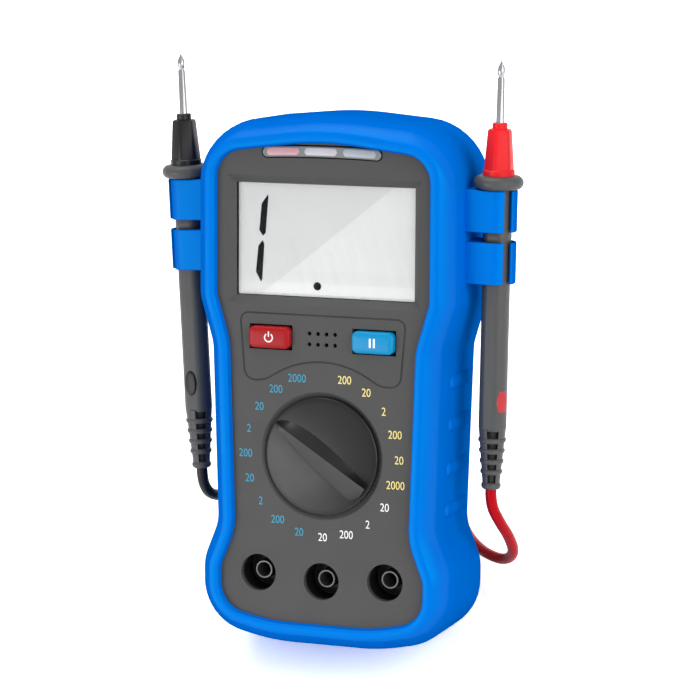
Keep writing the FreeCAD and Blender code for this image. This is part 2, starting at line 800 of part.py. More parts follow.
def display():
    """Window, glass, backlight and conductive strip in their holder on the board."""
    middle = ("0", "display_middle")
    piece("display_window", LEAN, block(
        "window_plate", ("window_wide", "window_tall", "window_thick"), (*middle, "window_level")
    ))
    piece("lcd_glass", LEAN, block(
        "glass_plate", ("window_wide - glass_inset * 2", "window_tall - glass_inset * 2", "glass_thick"),
        (*middle, "glass_level"),
    ))
    light_tall = "window_tall - glass_inset * 2 - light_short"
    piece("backlight", LEAN, block(
        "light_plate", ("window_wide - glass_inset * 2", light_tall, "light_thick"),
        ("0", "display_middle + light_short / 2", "light_level"),
    ))
    strip_at = "display_middle - window_tall / 2 + glass_inset + strip_thick / 2"
    piece("zebra_strip", LEAN, block(
        "strip_bar", ("window_wide - strip_short", "strip_thick", "glass_level - board_top"),
        ("0", strip_at, "board_top"),
    ))
    tray = block(
        "holder_block",
        ("window_wide + (part_gap + holder_wall) * 2", "window_tall + (part_gap + holder_wall) * 2",
         "ceiling_level - board_top"),
        (*middle, "board_top"),
    )
    well = block(
        "holder_well",
        ("window_wide + part_gap * 2", "window_tall + part_gap * 2", "ceiling_level - light_level + overcut"),
        (*middle, "light_level"),
    )
    slot = block(
        "holder_slot",
        ("window_wide - strip_short + part_gap * 2", "strip_thick + part_gap * 2", "ceiling_level"),
        ("0", strip_at, "board_top - overcut"),
    )
    piece("lcd_holder", LEAN, cut("lcd_holder", tray, well, slot))


def indicator():
    """Clear strip in the panel's top edge and three lamps on the board under it."""
    lens = stadium("lens", "0", "lens_deep", "panel_level + lens_proud - lens_deep")
    piece("indicator_lens", LEAN, lens)
    places = [(f"led_pitch * {column}", "lens_middle") for column in (-1, 0, 1)]
    tall = "panel_level + lens_proud - lens_deep - board_top"
    piece("indicator_leds", LEAN, *rods("led", "led_radius", tall, places, "board_top"))


def buttons():
    """Push buttons under the panel, their plungers, and the switches on the board."""
    switch_top = "board_top + switch_tall"
    rim_bottom = "ceiling_level - part_gap - button_rim_thick"
    for word, across in BUTTONS.items():
        cap = block(
            f"{word}_cap", ("button_wide", "button_tall", f"panel_level + button_proud - ({rim_bottom})"),
            (across, "button_middle", rim_bottom),
        )
        rim = block(
            f"{word}_rim",
            ("button_wide + button_rim * 2", "button_tall + button_rim * 2", "button_rim_thick"),
            (across, "button_middle", rim_bottom),
        )
        piece(f"{word}_button", LEAN, fuse(f"{word}_button", cap, rim))
        piece(f"{word}_plunger", LEAN, rod(
            f"{word}_plunger_rod", "plunger_radius", f"{rim_bottom} - ({switch_top}) + plunger_deep",
            (across, "button_middle", f"{switch_top} - plunger_deep"),
        ))
        housing = block(
            f"{word}_switch_block", ("switch_wide", "switch_wide", "switch_tall"),
            (across, "button_middle", "board_top"),
        )
        deep = f"plunger_deep + {word}_travel + plunger_gap"
        bore = rod(
            f"{word}_switch_bore", "plunger_radius + plunger_gap", f"{deep} + overcut",
            (across, "button_middle", f"{switch_top} - ({deep})"),
        )
        piece(f"{word}_switch", LEAN, cut(f"{word}_switch", housing, bore))


def transistor_socket():
    """Socket under the panel's eight holes."""
    lump = block(
        "socket_block", ("socket_wide", "socket_deep", "ceiling_level - board_top"),
        ("0", "button_middle", "board_top"),
    )
    holes = rods("socket_hole", "leg_hole", "leg_hole_deep + overcut", LEGS, "ceiling_level - leg_hole_deep")
    piece("transistor_socket", LEAN, cut("transistor_socket", lump, *holes))


def dial_grip():
    """The knob's ridge, pointed at one end and rounded at the other, turned to its setting."""
    reach, half, tail = size("dial_bar_reach"), size("dial_bar_wide") / 2, size("dial_bar_tail") / 2
    heel = math.sqrt(reach ** 2 - tail ** 2)
    nose, end = Vector(reach, 0, 0), Vector(-reach, 0, 0)
    left, right = Vector(-heel, tail, 0), Vector(-heel, -tail, 0)
    body = doc.addObject("PartDesign::Body", "dial_grip")
    pad = body.newObject("PartDesign::Pad", "dial_grip_pad")
    pad.Profile = sketch_on(body, "XY_Plane", [
        Part.Arc(nose, Vector(0, half, 0), left),
        Part.Arc(left, end, right),
        Part.Arc(right, Vector(0, -half, 0), nose),
    ])
    bind(pad, "Length", "dial_bar_tall + dial_thick / 2")
    level = size("dial_level") + size("dial_thick") / 2
    body.Placement = Placement(
        Vector(0, size("dial_middle"), level), Rotation(Vector(0, 0, 1), size("dial_turn"))
    )
    return body


def rotary_switch():
    """Knob and shaft, rotor, sprung detent balls and wipers, which all turn together."""
    foot = ("0", "dial_middle")
    disc = cone("dial_disc", "dial_radius", "dial_top_radius", "dial_thick", (*foot, "dial_level"))
    shaft = rod("dial_shaft", "shaft_radius", "dial_level - rotor_level + overcut", (*foot, "rotor_level"))
    piece("dial_knob", LEAN, fuse("dial_knob", disc, shaft, dial_grip()))
    plate = rod("rotor_plate", "rotor_radius", "rotor_thick", (*foot, "rotor_level"))
    bore = rod(
        "rotor_bore", "shaft_radius + screw_gap", "rotor_thick + overcut * 2",
        (*foot, "rotor_level - overcut"),
    )
    places = [("detent_radius", "dial_middle"), ("-detent_radius", "dial_middle")]
    floor = "rotor_level + rotor_thick - spring_tall"
    pockets = rods("rotor_pocket", "ball_radius + pocket_gap", "spring_tall + overcut", places, floor)
    piece("switch_rotor", LEAN, cut("switch_rotor", plate, bore, *pockets))
    springs = []
    balls = []
    for n, (x, y) in enumerate(places, 1):
        coil = rod(f"detent_coil_{n}", "spring_radius", "spring_tall", (x, y, floor))
        core = rod(
            f"detent_core_{n}", "spring_hole", "spring_tall + overcut * 2", (x, y, f"{floor} - overcut")
        )
        springs.append(cut(f"detent_spring_{n}", coil, core))
        ball = doc.addObject("Part::Sphere", f"detent_ball_{n}")
        bind(ball, "Radius", "ball_radius")
        for letter, formula in zip("xyz", (x, y, "rotor_level + rotor_thick + ball_radius")):
            bind(ball, "Placement.Base." + letter, formula)
        balls.append(ball)
    piece("detent_springs", LEAN, *springs)
    piece("detent_balls", LEAN, *balls)
    piece("wiper_contacts", LEAN, *[
        block(
            f"wiper_{n}", ("wiper_long", "wiper_wide", "rotor_lift - wiper_gap"),
            (across, along, "board_top + wiper_gap"),
        )
        for n, (across, along) in enumerate((
            ("wiper_circle", "dial_middle"),
            ("-wiper_circle", "dial_middle"),
            ("0", "dial_middle + wiper_circle"),
        ), 1)
    ])


def input_jacks():
    """Black housing with three cups, and a metal tube up the middle of each."""
    lump = block(
        "housing_block", ("housing_wide", "housing_deep", "ceiling_level - board_top"),
        ("0", "jack_middle - jack_dip / 2", "board_top"),
    )
    under = "board_top - overcut"
    cups = rods("housing_cup", "jack_cup", "ceiling_level", JACKS.values(), "board_top + jack_floor")
    holes = rods("housing_hole", "jack_outer + screw_gap", "ceiling_level", JACKS.values(), under)
    posts = rods("housing_post_gap", "post_radius + part_gap", "ceiling_level", CASE_POSTS, under)
    piece("jack_housing", LEAN, cut("jack_housing", lump, *cups, *holes, *posts))
    for word, (x, y) in JACKS.items():
        tube = rod(f"jack_tube_{word}", "jack_outer", "jack_long", (x, y, "jack_mouth - jack_long"))
        bore = rod(
            f"jack_bore_{word}", "jack_bore", "jack_long - jack_floor + overcut",
            (x, y, "jack_mouth - jack_long + jack_floor"),
        )
        piece(f"jack_{word}", LEAN, cut(f"jack_{word}", tube, bore))


def tilt_stand():
    """Plate with a barrel and two pins at its hinge, drawn folded about the hinge and swung open."""
    inner = "-stand_sunk"
    plate = block(
        "stand_plate", ("stand_half * 2", "stand_long", "stand_thick"),
        ("0", "-stand_long / 2", f"{inner} - stand_thick"),
    )
    neck = block(
        "stand_neck_block", ("stand_half * 2", "stand_neck", "stand_sunk + stand_thick"),
        ("0", "0", f"{inner} - stand_thick"),
    )
    barrel = rod("stand_barrel", "hinge_barrel", "stand_half * 2", ("-stand_half", "0", "0"), "x")
    pins = rod(
        "stand_pins", "hinge_pin", "(stand_half + hinge_pin_long) * 2",
        ("-stand_half - hinge_pin_long", "0", "0"), "x",
    )
    hole = block(
        "stand_hole", ("stand_hole_wide", "stand_hole_long", "stand_thick + overcut * 2"),
        ("0", "-stand_hole_at", f"{inner} - stand_thick - overcut"),
    )
    hinge = Vector(0, size("hinge_at"), size("hinge_level"))
    swung = Placement(hinge, Rotation(Vector(1, 0, 0), size("stand_open")))
    whole = cut("tilt_stand", fuse("stand_whole", plate, neck, barrel, pins), hole)
    piece("tilt_stand", LEAN.multiply(swung), whole)


def probe(word, side):
    """Handle with guard and strain relief, oval inlay, tip cap and needle, along the probe's own z."""
    place = LEAN.multiply(probe_place(word, side)).multiply(probe_lift())
    guard, thick = size("guard_radius"), size("guard_thick")
    handle, ridge = size("handle_radius"), size("ridge_radius")
    ridge_top = -size("ridge_at") + size("ridge_thick") / 2
    ridge_foot = -size("ridge_at") - size("ridge_thick") / 2
    taper = -size("handle_long")
    tail = taper - size("relief_long")
    bevel = thick / 3
    stem = turned(f"{word}_handle_stem", [
        (0, thick), (guard - bevel, thick), (guard, thick - bevel), (guard, bevel), (guard - bevel, 0),
        (handle, 0), (handle, ridge_top), (ridge, ridge_top), (ridge, ridge_foot), (handle, ridge_foot),
        (handle, taper), (size("relief_radius"), tail), (0, tail),
    ])
    root = rod(
        f"{word}_needle_hole", "needle_radius + needle_gap", "needle_rooted + guard_thick + overcut",
        ("0", "0", "-needle_rooted"),
    )
    outward = -90 + side * size(f"{word}_inlay_turn")
    spot = doc.addObject("Part::Cylinder", f"{word}_inlay_hole")
    bind(spot, "Radius", "inlay_radius")
    bind(spot, "Height", "inlay_deep * 2")
    turn = Rotation(Vector(0, 0, 1), outward)
    reach = size("handle_radius") - size("inlay_deep")
    base = turn.multVec(Vector(reach, 0, -size("inlay_at")))
    spot.Placement = Placement(base, turn.multiply(Rotation(Vector(0, 1, 0), 90)))
    piece(f"{word}_probe_handle", place, cut(f"{word}_probe_handle", stem, root, spot))
    stud = doc.addObject("Part::Cylinder", f"{word}_inlay_stud")
    bind(stud, "Radius", "inlay_radius - needle_gap")
    bind(stud, "Height", "inlay_deep")
    stud.Placement = spot.Placement
    piece(f"{word}_handle_inlay", place, stud)
    collar = size("collar_radius")
    cap_top = thick + size("cap_tall")
    cap = turned(f"{word}_cap_blank", [
        (0, thick), (size("cap_base"), thick), (size("cap_top"), cap_top), (collar, cap_top),
        (collar, cap_top + size("collar_tall")), (0, cap_top + size("collar_tall")),
    ])
    bore = rod(
        f"{word}_cap_bore", "needle_radius + needle_gap", "cap_tall + collar_tall + overcut * 2",
        ("0", "0", "guard_thick - overcut"),
    )
    piece(f"{word}_tip_cap", place, cut(f"{word}_tip_cap", cap, bore))
    needle, neck = size("needle_radius"), size("needle_neck")
    top, head = size("needle_top"), size("needle_head")
    piece(f"{word}_probe_needle", place, turned(f"{word}_probe_needle", [
        (0, -size("needle_rooted")), (needle, -size("needle_rooted")), (needle, top - head - neck),
        (neck, top - head), (needle, top - head + neck), (needle, top - head / 2), (0, top),
    ]))


# Points of each lead from its strain relief to its coil on the floor, before the shift to the part's origin
LEAD_POINTS = {
    "red": [
        (46.0, 3.4, 37.4), (47.2, 6.2, 29.6), (46.8, 9.2, 21.2), (42.2, 12.7, 15.1), (34.8, 17.7, 12.7),
        (28.6, 24.6, 10.6), (22.4, 34.0, 7.6), (17.6, 43.8, 4.8), (14.0, 54.0, 2.8), (9.2, 63.8, 2.2),
        (3.2, 73.4, 2.2), (-2.6, 83.0, 2.2),
    ],
    "black": [
        (-43.0, 3.3, 41.5), (-42.5, 4.7, 38.3), (-41.9, 8.0, 35.2), (-41.6, 12.6, 31.8), (-41.8, 16.6, 27.0),
        (-42.2, 19.4, 21.4), (-42.8, 21.0, 15.4), (-43.4, 22.0, 9.6), (-46.2, 23.8, 4.4), (-50.4, 26.6, 2.4),
        (-55.0, 32.4, 2.2), (-57.4, 39.4, 2.2),
    ],
}
COIL_PLACES = {"red": (-22.0, 84.5), "black": (-38.0, 46.0)}
# Points of each lead from its coil round to its plug, from the coil's middle and for the red lead's hand
TAIL_POINTS = [
    (15.4, 0.0, 8.6), (17.8, 12.0, 11.6), (18.4, 24.5, 12.4), (12.4, 33.2, 13.6), (2.8, 34.2, 14.6),
    (-4.0, 28.0, 15.2),
]


# How much of the shorter run beside a bend its arc may use up
BEND_SHARE = 0.45


def tube(label, points):
    """A lead's solid: straight runs joined by tangent arcs as large as the runs allow."""
    edges = []
    last = points[0]
    for before, here, after in zip(points, points[1:], points[2:]):
        come, go = (here - before).normalize(), (after - here).normalize()
        back = BEND_SHARE * min((here - before).Length, (after - here).Length)
        half_turn = come.getAngle(go) / 2
        radius = back / math.tan(half_turn)
        start, end = here - come * back, here + go * back
        bow = (go - come).normalize() * (radius / math.cos(half_turn) - radius)
        edges.append(Part.LineSegment(last, start).toShape())
        edges.append(Part.Arc(start, here + bow, end).toShape())
        last = end
        print(f"{label} bend radius {radius:.1f}")
    edges.append(Part.LineSegment(last, points[-1]).toShape())
    path = Part.Wire(edges)
    ring = Part.Wire([Part.Circle(points[0], points[1] - points[0], size("lead_radius")).toShape()])
    shape = path.makePipeShell([ring], True, True)
    expected = math.pi * size("lead_radius") ** 2 * path.Length
    print(f"{label} length {path.Length:.1f}, volume {shape.Volume:.1f} against {expected:.1f}")
    thing = doc.addObject("Part::Feature", label)
    thing.Shape = shape
    PIECES[label] = thing


def lead(word, side):
    """One lead: the run from its probe, a tied coil, the tail, and a shrouded plug lying on the coil."""
    shift = Vector(0, -size("origin_back"), 0)
    place = LEAN.multiply(probe_place(word, side)).multiply(probe_lift())
    start = place.multVec(Vector(0, 0, -size("handle_long") - size("relief_long")))
    out = place.Rotation.multVec(Vector(0, 0, -size(f"{word}_lead_exit")))
    tube(f"{word}_lead", [start, start + out] + [Vector(*point) + shift for point in LEAD_POINTS[word]])
    middle = Vector(*COIL_PLACES[word], 0) + shift
    upright = Placement(middle, Rotation())
    piece(f"{word}_lead_coil", upright, cut(
        f"{word}_lead_coil",
        rod(f"{word}_coil_outer", "coil_middle + coil_wide / 2", "coil_tall", ("0", "0", "coil_lift")),
        rod(
            f"{word}_coil_inner", "coil_middle - coil_wide / 2", "coil_tall + overcut * 2",
            ("0", "0", "-overcut"),
        ),
    ))
    tie_at = "-coil_middle" if side > 0 else "coil_middle"
    band = block(
        f"{word}_tie_outer",
        ("coil_wide + (tie_gap + tie_thick) * 2", "tie_wide", "coil_tall + (screw_gap + tie_thick) * 2"),
        (tie_at, "0", "coil_lift - screw_gap - tie_thick"),
    )
    hole = block(
        f"{word}_tie_inner",
        ("coil_wide + tie_gap * 2", "tie_wide + overcut * 2", "coil_tall + screw_gap * 2"),
        (tie_at, "0", "coil_lift - screw_gap"),
    )
    piece(f"{word}_lead_tie", upright, cut(f"{word}_lead_tie", band, hole))
    level = size("coil_lift") + size("coil_tall") + size("plug_radius")
    mouth = middle + Vector(-side * size("plug_aside"), -size("plug_overhang"), level)
    lying = Placement(mouth, Rotation(Vector(1, 0, 0), -90))
    tail_end = size("plug_long") + size("plug_tail")
    body = turned(f"{word}_plug_blank", [
        (0, 0), (size("plug_radius"), 0), (size("plug_radius"), size("plug_long")),
        (size("plug_tail_radius"), tail_end), (0, tail_end),
    ])
    bore = rod(f"{word}_plug_bore", "plug_bore", "plug_bore_deep + overcut", ("0", "0", "-overcut"))
    piece(f"{word}_plug", lying, cut(f"{word}_plug", body, bore))
    piece(f"{word}_plug_pin", lying, rod(
        f"{word}_plug_pin_rod", "plug_pin_radius", "plug_bore_deep - plug_pin_inset",
        ("0", "0", "plug_pin_inset"),
    ))
    tail = [middle + Vector(side * x, y, z) for x, y, z in TAIL_POINTS]
    tube(f"{word}_lead_tail", tail + [lying.multVec(Vector(0, 0, tail_end))])


def build():
    """All sub-parts, then the checks, then the files."""
    holster()
    front_case()
    rear_case()
    fasteners()
    battery_and_door()
    circuit_board()
    display()
    indicator()
    buttons()
    transistor_socket()
    rotary_switch()
    input_jacks()
    tilt_stand()
    for word, side in SIDES:
        probe(word, side)
        lead(word, side)
    doc.recompute()
    failed = [thing.Label for thing in doc.Objects if {"Invalid", "Error"} & set(thing.State)]
    failed += [label for label, thing in PIECES.items() if thing.Shape.isNull() or not thing.Shape.isValid()]
    if failed:
        raise RuntimeError("failed: " + ", ".join(failed))
    os.makedirs("parts", exist_ok=True)
    for label, thing in PIECES.items():
        thing.Shape.exportStep(f"parts/{label}.step")
        print(f"{label}: {len(thing.Shape.Solids)} solids, {thing.Shape.Volume:.1f} mm3")


build()
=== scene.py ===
import json
from math import asin, atan2, copysign, cos, degrees, hypot, pi, radians, sin, sqrt, tan

import bmesh
import bpy
from mathutils import Matrix, Vector


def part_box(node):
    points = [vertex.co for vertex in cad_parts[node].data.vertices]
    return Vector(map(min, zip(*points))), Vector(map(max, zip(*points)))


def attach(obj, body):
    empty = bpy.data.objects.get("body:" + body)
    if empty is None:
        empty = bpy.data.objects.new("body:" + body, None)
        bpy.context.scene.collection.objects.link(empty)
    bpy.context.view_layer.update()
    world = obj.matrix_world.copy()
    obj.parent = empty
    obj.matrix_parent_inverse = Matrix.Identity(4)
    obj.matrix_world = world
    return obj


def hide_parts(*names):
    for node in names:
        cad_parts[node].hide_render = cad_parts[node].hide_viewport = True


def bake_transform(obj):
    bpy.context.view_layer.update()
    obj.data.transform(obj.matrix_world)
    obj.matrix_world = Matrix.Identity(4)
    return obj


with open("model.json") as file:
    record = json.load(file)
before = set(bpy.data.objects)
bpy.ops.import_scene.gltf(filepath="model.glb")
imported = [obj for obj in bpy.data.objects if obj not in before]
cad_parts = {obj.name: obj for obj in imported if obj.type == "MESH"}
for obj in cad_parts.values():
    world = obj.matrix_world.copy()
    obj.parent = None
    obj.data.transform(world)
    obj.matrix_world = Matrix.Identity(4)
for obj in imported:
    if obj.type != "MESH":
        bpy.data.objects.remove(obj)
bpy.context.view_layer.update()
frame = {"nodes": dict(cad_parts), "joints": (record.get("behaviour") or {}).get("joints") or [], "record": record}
SCENE = bpy.context.scene
NODES = frame["nodes"]
JOINTS = {joint["name"]: joint for joint in frame["joints"]}
SIDES = {"red": 1, "black": -1}
MM = 0.001


# Objects and frames
def placed(name, data):
    """A new object in the scene."""
    thing = bpy.data.objects.new(name, data)
    SCENE.collection.objects.link(thing)
    return thing


def upright(origin, right, out):
    """A frame from its origin, its x and its z."""
    return Matrix.Translation(origin) @ Matrix((right, out.cross(right), out)).transposed().to_4x4()


def panel_frame():
    """x to the right, y up the panel, z out of it, from the dial's middle on the panel's face."""
    turn = JOINTS["dial_turn"]
    return upright(Vector(turn["pos_m"]), Vector((1, 0, 0)), Vector(turn["axis"]).normalized())


def probe_frame(word):
    """z up the probe from the top of its guard, x to the right, y to the back."""
    axis = Vector(JOINTS[f"{word}_probe_pull"]["axis"]).normalized()
    rise = [vertex.co.dot(axis) for vertex in NODES[f"{word}_probe_handle"].data.vertices]
    needle = [vertex.co for vertex in NODES[f"{word}_probe_needle"].data.vertices]
    root = min(point.dot(axis) for point in needle)
    foot = [point for point in needle if point.dot(axis) < root + 0.01 * MM]
    middle = sum(foot, Vector()) / len(foot)
    right = (Vector((1, 0, 0)) - axis * axis.x).normalized()
    return upright(middle + axis * (max(rise) - root), right, axis)


PANEL = panel_frame()
PROBES = {word: probe_frame(word) for word in SIDES}


def extent(node, place):
    """A node's low and high corners in a frame, in millimetres."""
    back = place.inverted()
    points = [back @ vertex.co / MM for vertex in NODES[node].data.vertices]
    return [Vector(pick(point[axis] for point in points) for axis in range(3)) for pick in (min, max)]


# Camera
CAMERA_YAW = radians(20.49)
CAMERA_PITCH = radians(7.98)
CAMERA_ROLL = radians(0.33)
CAMERA_FAR = 840.0
CAMERA_ASIDE = 7.95
CAMERA_RISE = 29.81
SENSOR = 36.0
CAMERA_LENS = SENSOR * 30 / 7


def camera():
    """A long lens at the photo's angle, placed from the panel's frame."""
    flat = cos(CAMERA_PITCH)
    back = Vector((sin(CAMERA_YAW) * flat, sin(CAMERA_PITCH), cos(CAMERA_YAW) * flat))
    level = Vector((cos(CAMERA_YAW), 0, -sin(CAMERA_YAW)))
    right = level * cos(CAMERA_ROLL) + back.cross(level) * sin(CAMERA_ROLL)
    up = back.cross(right)
    eye = back * CAMERA_FAR + right * CAMERA_ASIDE + up * CAMERA_RISE
    data = bpy.data.cameras.new("photo_camera")
    data.sensor_width = SENSOR
    data.lens = CAMERA_LENS
    data.clip_start = 0.01
    data.clip_end = 20
    thing = placed("photo_camera", data)
    thing.matrix_world = PANEL @ upright(eye * MM, right, back)
    SCENE.camera = thing


camera()


# Materials
def mixed(tree, factor, low, high):
    """A colour between two, by a factor socket."""
    mix = tree.nodes.new("ShaderNodeMix")
    mix.data_type = "RGBA"
    mix.inputs["A"].default_value = (*low, 1)
    mix.inputs["B"].default_value = (*high, 1)
    tree.links.new(factor, mix.inputs["Factor"])
    return mix.outputs["Result"]


def ranged(tree, value, start, end, low, high):
    """A value socket's run from start to end, spread between two numbers."""
    spread = tree.nodes.new("ShaderNodeMapRange")
    for name, number in (("From Min", start), ("From Max", end), ("To Min", low), ("To Max", high)):
        spread.inputs[name].default_value = number
    tree.links.new(value, spread.inputs["Value"])
    return spread.outputs["Result"]


def place_of(tree, kind="Object"):
    """Coordinates of one kind, or the object's own."""
    return tree.nodes.new("ShaderNodeTexCoord").outputs[kind]


def noise(tree, scale, detail=3.0):
    """Noise with so many cells a metre."""
    cloud = tree.nodes.new("ShaderNodeTexNoise")
    cloud.inputs["Scale"].default_value = scale
    cloud.inputs["Detail"].default_value = detail
    tree.links.new(place_of(tree), cloud.inputs["Vector"])
    return cloud.outputs["Fac"]


def moulded(name, colour, roughness, shift=0.1, grain=2200.0, depth=0.02, metal=0.0, shine=0.4):
    """A solid colour with faint mottling, uneven gloss and a fine grain of so many cells a metre."""
    material = bpy.data.materials.new(name)
    material.use_nodes = True
    tree = material.node_tree
    surface = tree.nodes["Principled BSDF"]
    cloud = noise(tree, 90.0)
    low = [channel * (1 - shift) for channel in colour]
    high = [min(1.0, channel * (1 + shift)) for channel in colour]
    tree.links.new(mixed(tree, cloud, low, high), surface.inputs["Base Color"])
    gloss = ranged(tree, cloud, 0.3, 0.7, roughness * 0.85, min(1.0, roughness * 1.15))
    tree.links.new(gloss, surface.inputs["Roughness"])
    surface.inputs["Metallic"].default_value = metal
    surface.inputs["Specular IOR Level"].default_value = shine
    bump = tree.nodes.new("ShaderNodeBump")
    bump.inputs["Strength"].default_value = 0.5
    bump.inputs["Distance"].default_value = depth * MM
    tree.links.new(noise(tree, grain, 2.0), bump.inputs["Height"])
    tree.links.new(bump.outputs["Normal"], surface.inputs["Normal"])
    return material


def clear(name, colour, gloss):
    """A clear sheet: mostly see-through, with a faint uneven gloss."""
    material = bpy.data.materials.new(name)
    material.use_nodes = True
    tree = material.node_tree
    through = tree.nodes.new("ShaderNodeBsdfTransparent")
    through.inputs["Color"].default_value = (*colour, 1)
    shine = tree.nodes.new("ShaderNodeBsdfGlossy")
    tree.links.new(ranged(tree, noise(tree, 60.0), 0.3, 0.7, 0.08, 0.12), shine.inputs["Roughness"])
    both = tree.nodes.new("ShaderNodeMixShader")
    both.inputs["Fac"].default_value = gloss
    tree.links.new(through.outputs["BSDF"], both.inputs[1])
    tree.links.new(shine.outputs["BSDF"], both.inputs[2])
    tree.links.new(both.outputs["Shader"], tree.nodes["Material Output"].inputs["Surface"])
    return material


def display_grey_and_glare():
    """Pale display grey with a faint painted glow, and a painted glare: brighter below a slanting line."""
    material = moulded("lcd_glass", (0.7, 0.7, 0.7), 0.4, depth=0.002, shine=0.1)
    tree = material.node_tree
    surface = tree.nodes["Principled BSDF"]
    glare_slant = PANEL.to_3x3() @ Vector((0.62, -0.78, 0))
    across = tree.nodes.new("ShaderNodeVectorMath")
    across.operation = "DOT_PRODUCT"
    across.inputs[1].default_value = glare_slant
    tree.links.new(place_of(tree), across.inputs[0])
    low, high = extent("lcd_glass", PANEL)
    line = (PANEL @ ((low + high) / 2 * MM)).dot(glare_slant)
    # painted glare: a step to a brighter grey below a slanting line across the display
    step = ranged(tree, across.outputs["Value"], line - 0.1 * MM, line + 0.1 * MM, 0.0, 1.0)
    pale = mixed(tree, step, (0.72, 0.72, 0.72), (0.8, 0.8, 0.8))
    tree.links.new(pale, surface.inputs["Base Color"])
    # painted glow: the grey also shines by itself, though the display is no lamp
    tree.links.new(pale, surface.inputs["Emission Color"])
    surface.inputs["Emission Strength"].default_value = 0.22
    return material


def blue_rubber():
    """Satin rubber with a soft blue sheen that fades where the surface turns away."""
    material = moulded("holster_rubber", (0.0, 0.145, 0.64), 0.38, shift=0.05, grain=1500.0)
    tree = material.node_tree
    surface = tree.nodes["Principled BSDF"]
    surface.inputs["Specular Tint"].default_value = (0.0, 0.75, 1.0, 1)
    facing = tree.nodes.new("ShaderNodeLayerWeight").outputs["Facing"]
    tree.links.new(ranged(tree, facing, 0.0, 0.42, 0.55, 0.0), surface.inputs["Specular IOR Level"])
    return material


PAINT = {}


def coat(slot, *look, **more):
    """A moulded finish as the material of a slot."""
    PAINT[slot] = moulded(slot, *look, **more)


PAINT["holster_rubber"] = blue_rubber()
coat("panel_plastic", (0.066, 0.065, 0.064), 0.5, grain=2600.0, depth=0.06, shine=0.2)
coat("case_plastic", (0.05, 0.05, 0.052), 0.55, grain=1800.0, depth=0.08, shine=0.3)
coat("knob_plastic", (0.006, 0.006, 0.0065), 0.33, grain=2600.0, shine=0.28)
PAINT["clear_plastic"] = clear("clear_plastic", (0.98, 0.985, 0.985), 0.008)
PAINT["lcd_glass"] = display_grey_and_glare()
coat("white_plastic", (0.82, 0.82, 0.8), 0.4, shift=0.04)
coat("strip_rubber", (0.34, 0.2, 0.24), 0.7)
coat("board_green", (0.02, 0.17, 0.06), 0.35, shift=0.25)
coat("black_plastic", (0.007, 0.007, 0.0075), 0.34, grain=2600.0, shine=0.22)
coat("red_plastic", (0.76, 0.015, 0.019), 0.36, shift=0.06, shine=0.14)
coat("blue_plastic", (0.0, 0.26, 0.54), 0.32, shift=0.06, shine=0.2)
coat("plunger_white", (0.78, 0.78, 0.76), 0.4, shift=0.05)
coat("bright_metal", (0.3, 0.3, 0.31), 0.2, shift=0.08, depth=0.004, metal=1.0)
coat("steel", (0.4, 0.4, 0.42), 0.3, shift=0.15, metal=1.0)
coat("brass", (0.66, 0.45, 0.16), 0.28, shift=0.15, metal=1.0)
PAINT["fuse_glass"] = clear("fuse_glass", (0.92, 0.96, 0.94), 0.1)
coat("lamp_plastic", (0.7, 0.35, 0.3), 0.3)
coat("battery_can", (0.16, 0.17, 0.2), 0.3, shift=0.2, metal=0.7)
coat("handle_plastic", (0.07, 0.07, 0.07), 0.45, grain=2400.0, depth=0.04, shine=0.28)
coat("inlay_red", (0.5, 0.014, 0.02), 0.4, shift=0.06)
coat("red_jacket", (0.5, 0.003, 0.01), 0.32, shift=0.08, shine=0.07)
coat("black_jacket", (0.01, 0.01, 0.0115), 0.38, shift=0.2, shine=0.18)
coat("tie_fabric", (0.03, 0.03, 0.034), 0.85, shift=0.3, grain=5000.0, depth=0.08)
# Finishes of single pieces, beside the slots above
BUTTON_RED = moulded("button_red", (0.36, 0.009, 0.013), 0.34, shift=0.06, shine=0.14)
JACK_NICKEL = moulded("jack_nickel", (0.09, 0.09, 0.092), 0.35, metal=0.5)
PRINT_WHITE = moulded("print_white", (0.95, 0.95, 0.95), 0.6, shift=0.04, depth=0.004)
PRINT_YELLOW = moulded("print_yellow", (0.9, 0.76, 0.26), 0.6, shift=0.04, depth=0.004)
PRINT_BLUE = moulded("print_blue", (0.035, 0.3, 0.46), 0.6, shift=0.04, depth=0.004)
PRINT_BLACK = moulded("print_black", (0.004, 0.004, 0.005), 0.6, shift=0.2, depth=0.002, shine=0.05)
# painted shade: a near-black for dark strips laid where grooves, gaps and hollows fall into shadow
GROOVE_SHADE = moulded("groove_shade", (0.012, 0.012, 0.012), 0.7, depth=0.004)
LAMP_PINK = moulded("lamp_pink", (0.62, 0.34, 0.38), 0.25, shift=0.25, grain=1400.0, depth=0.06)
LAMP_PALE = moulded("lamp_pale", (0.52, 0.5, 0.54), 0.25, shift=0.3, grain=1400.0, depth=0.06)
LAMP_GREY = moulded("lamp_grey", (0.38, 0.42, 0.46), 0.25, shift=0.25, grain=1400.0, depth=0.06)
LENS_SMOKE = moulded("lens_smoke", (0.2, 0.21, 0.215), 0.22, shift=0.2, grain=1400.0, depth=0.06)


# Meshes
def mesh_of(data):
    """The mesh that a curve or a word makes."""
    thing = bpy.data.objects.new(data.name, data)
    mesh = bpy.data.meshes.new_from_object(thing)
    bpy.data.objects.remove(thing)
    return mesh


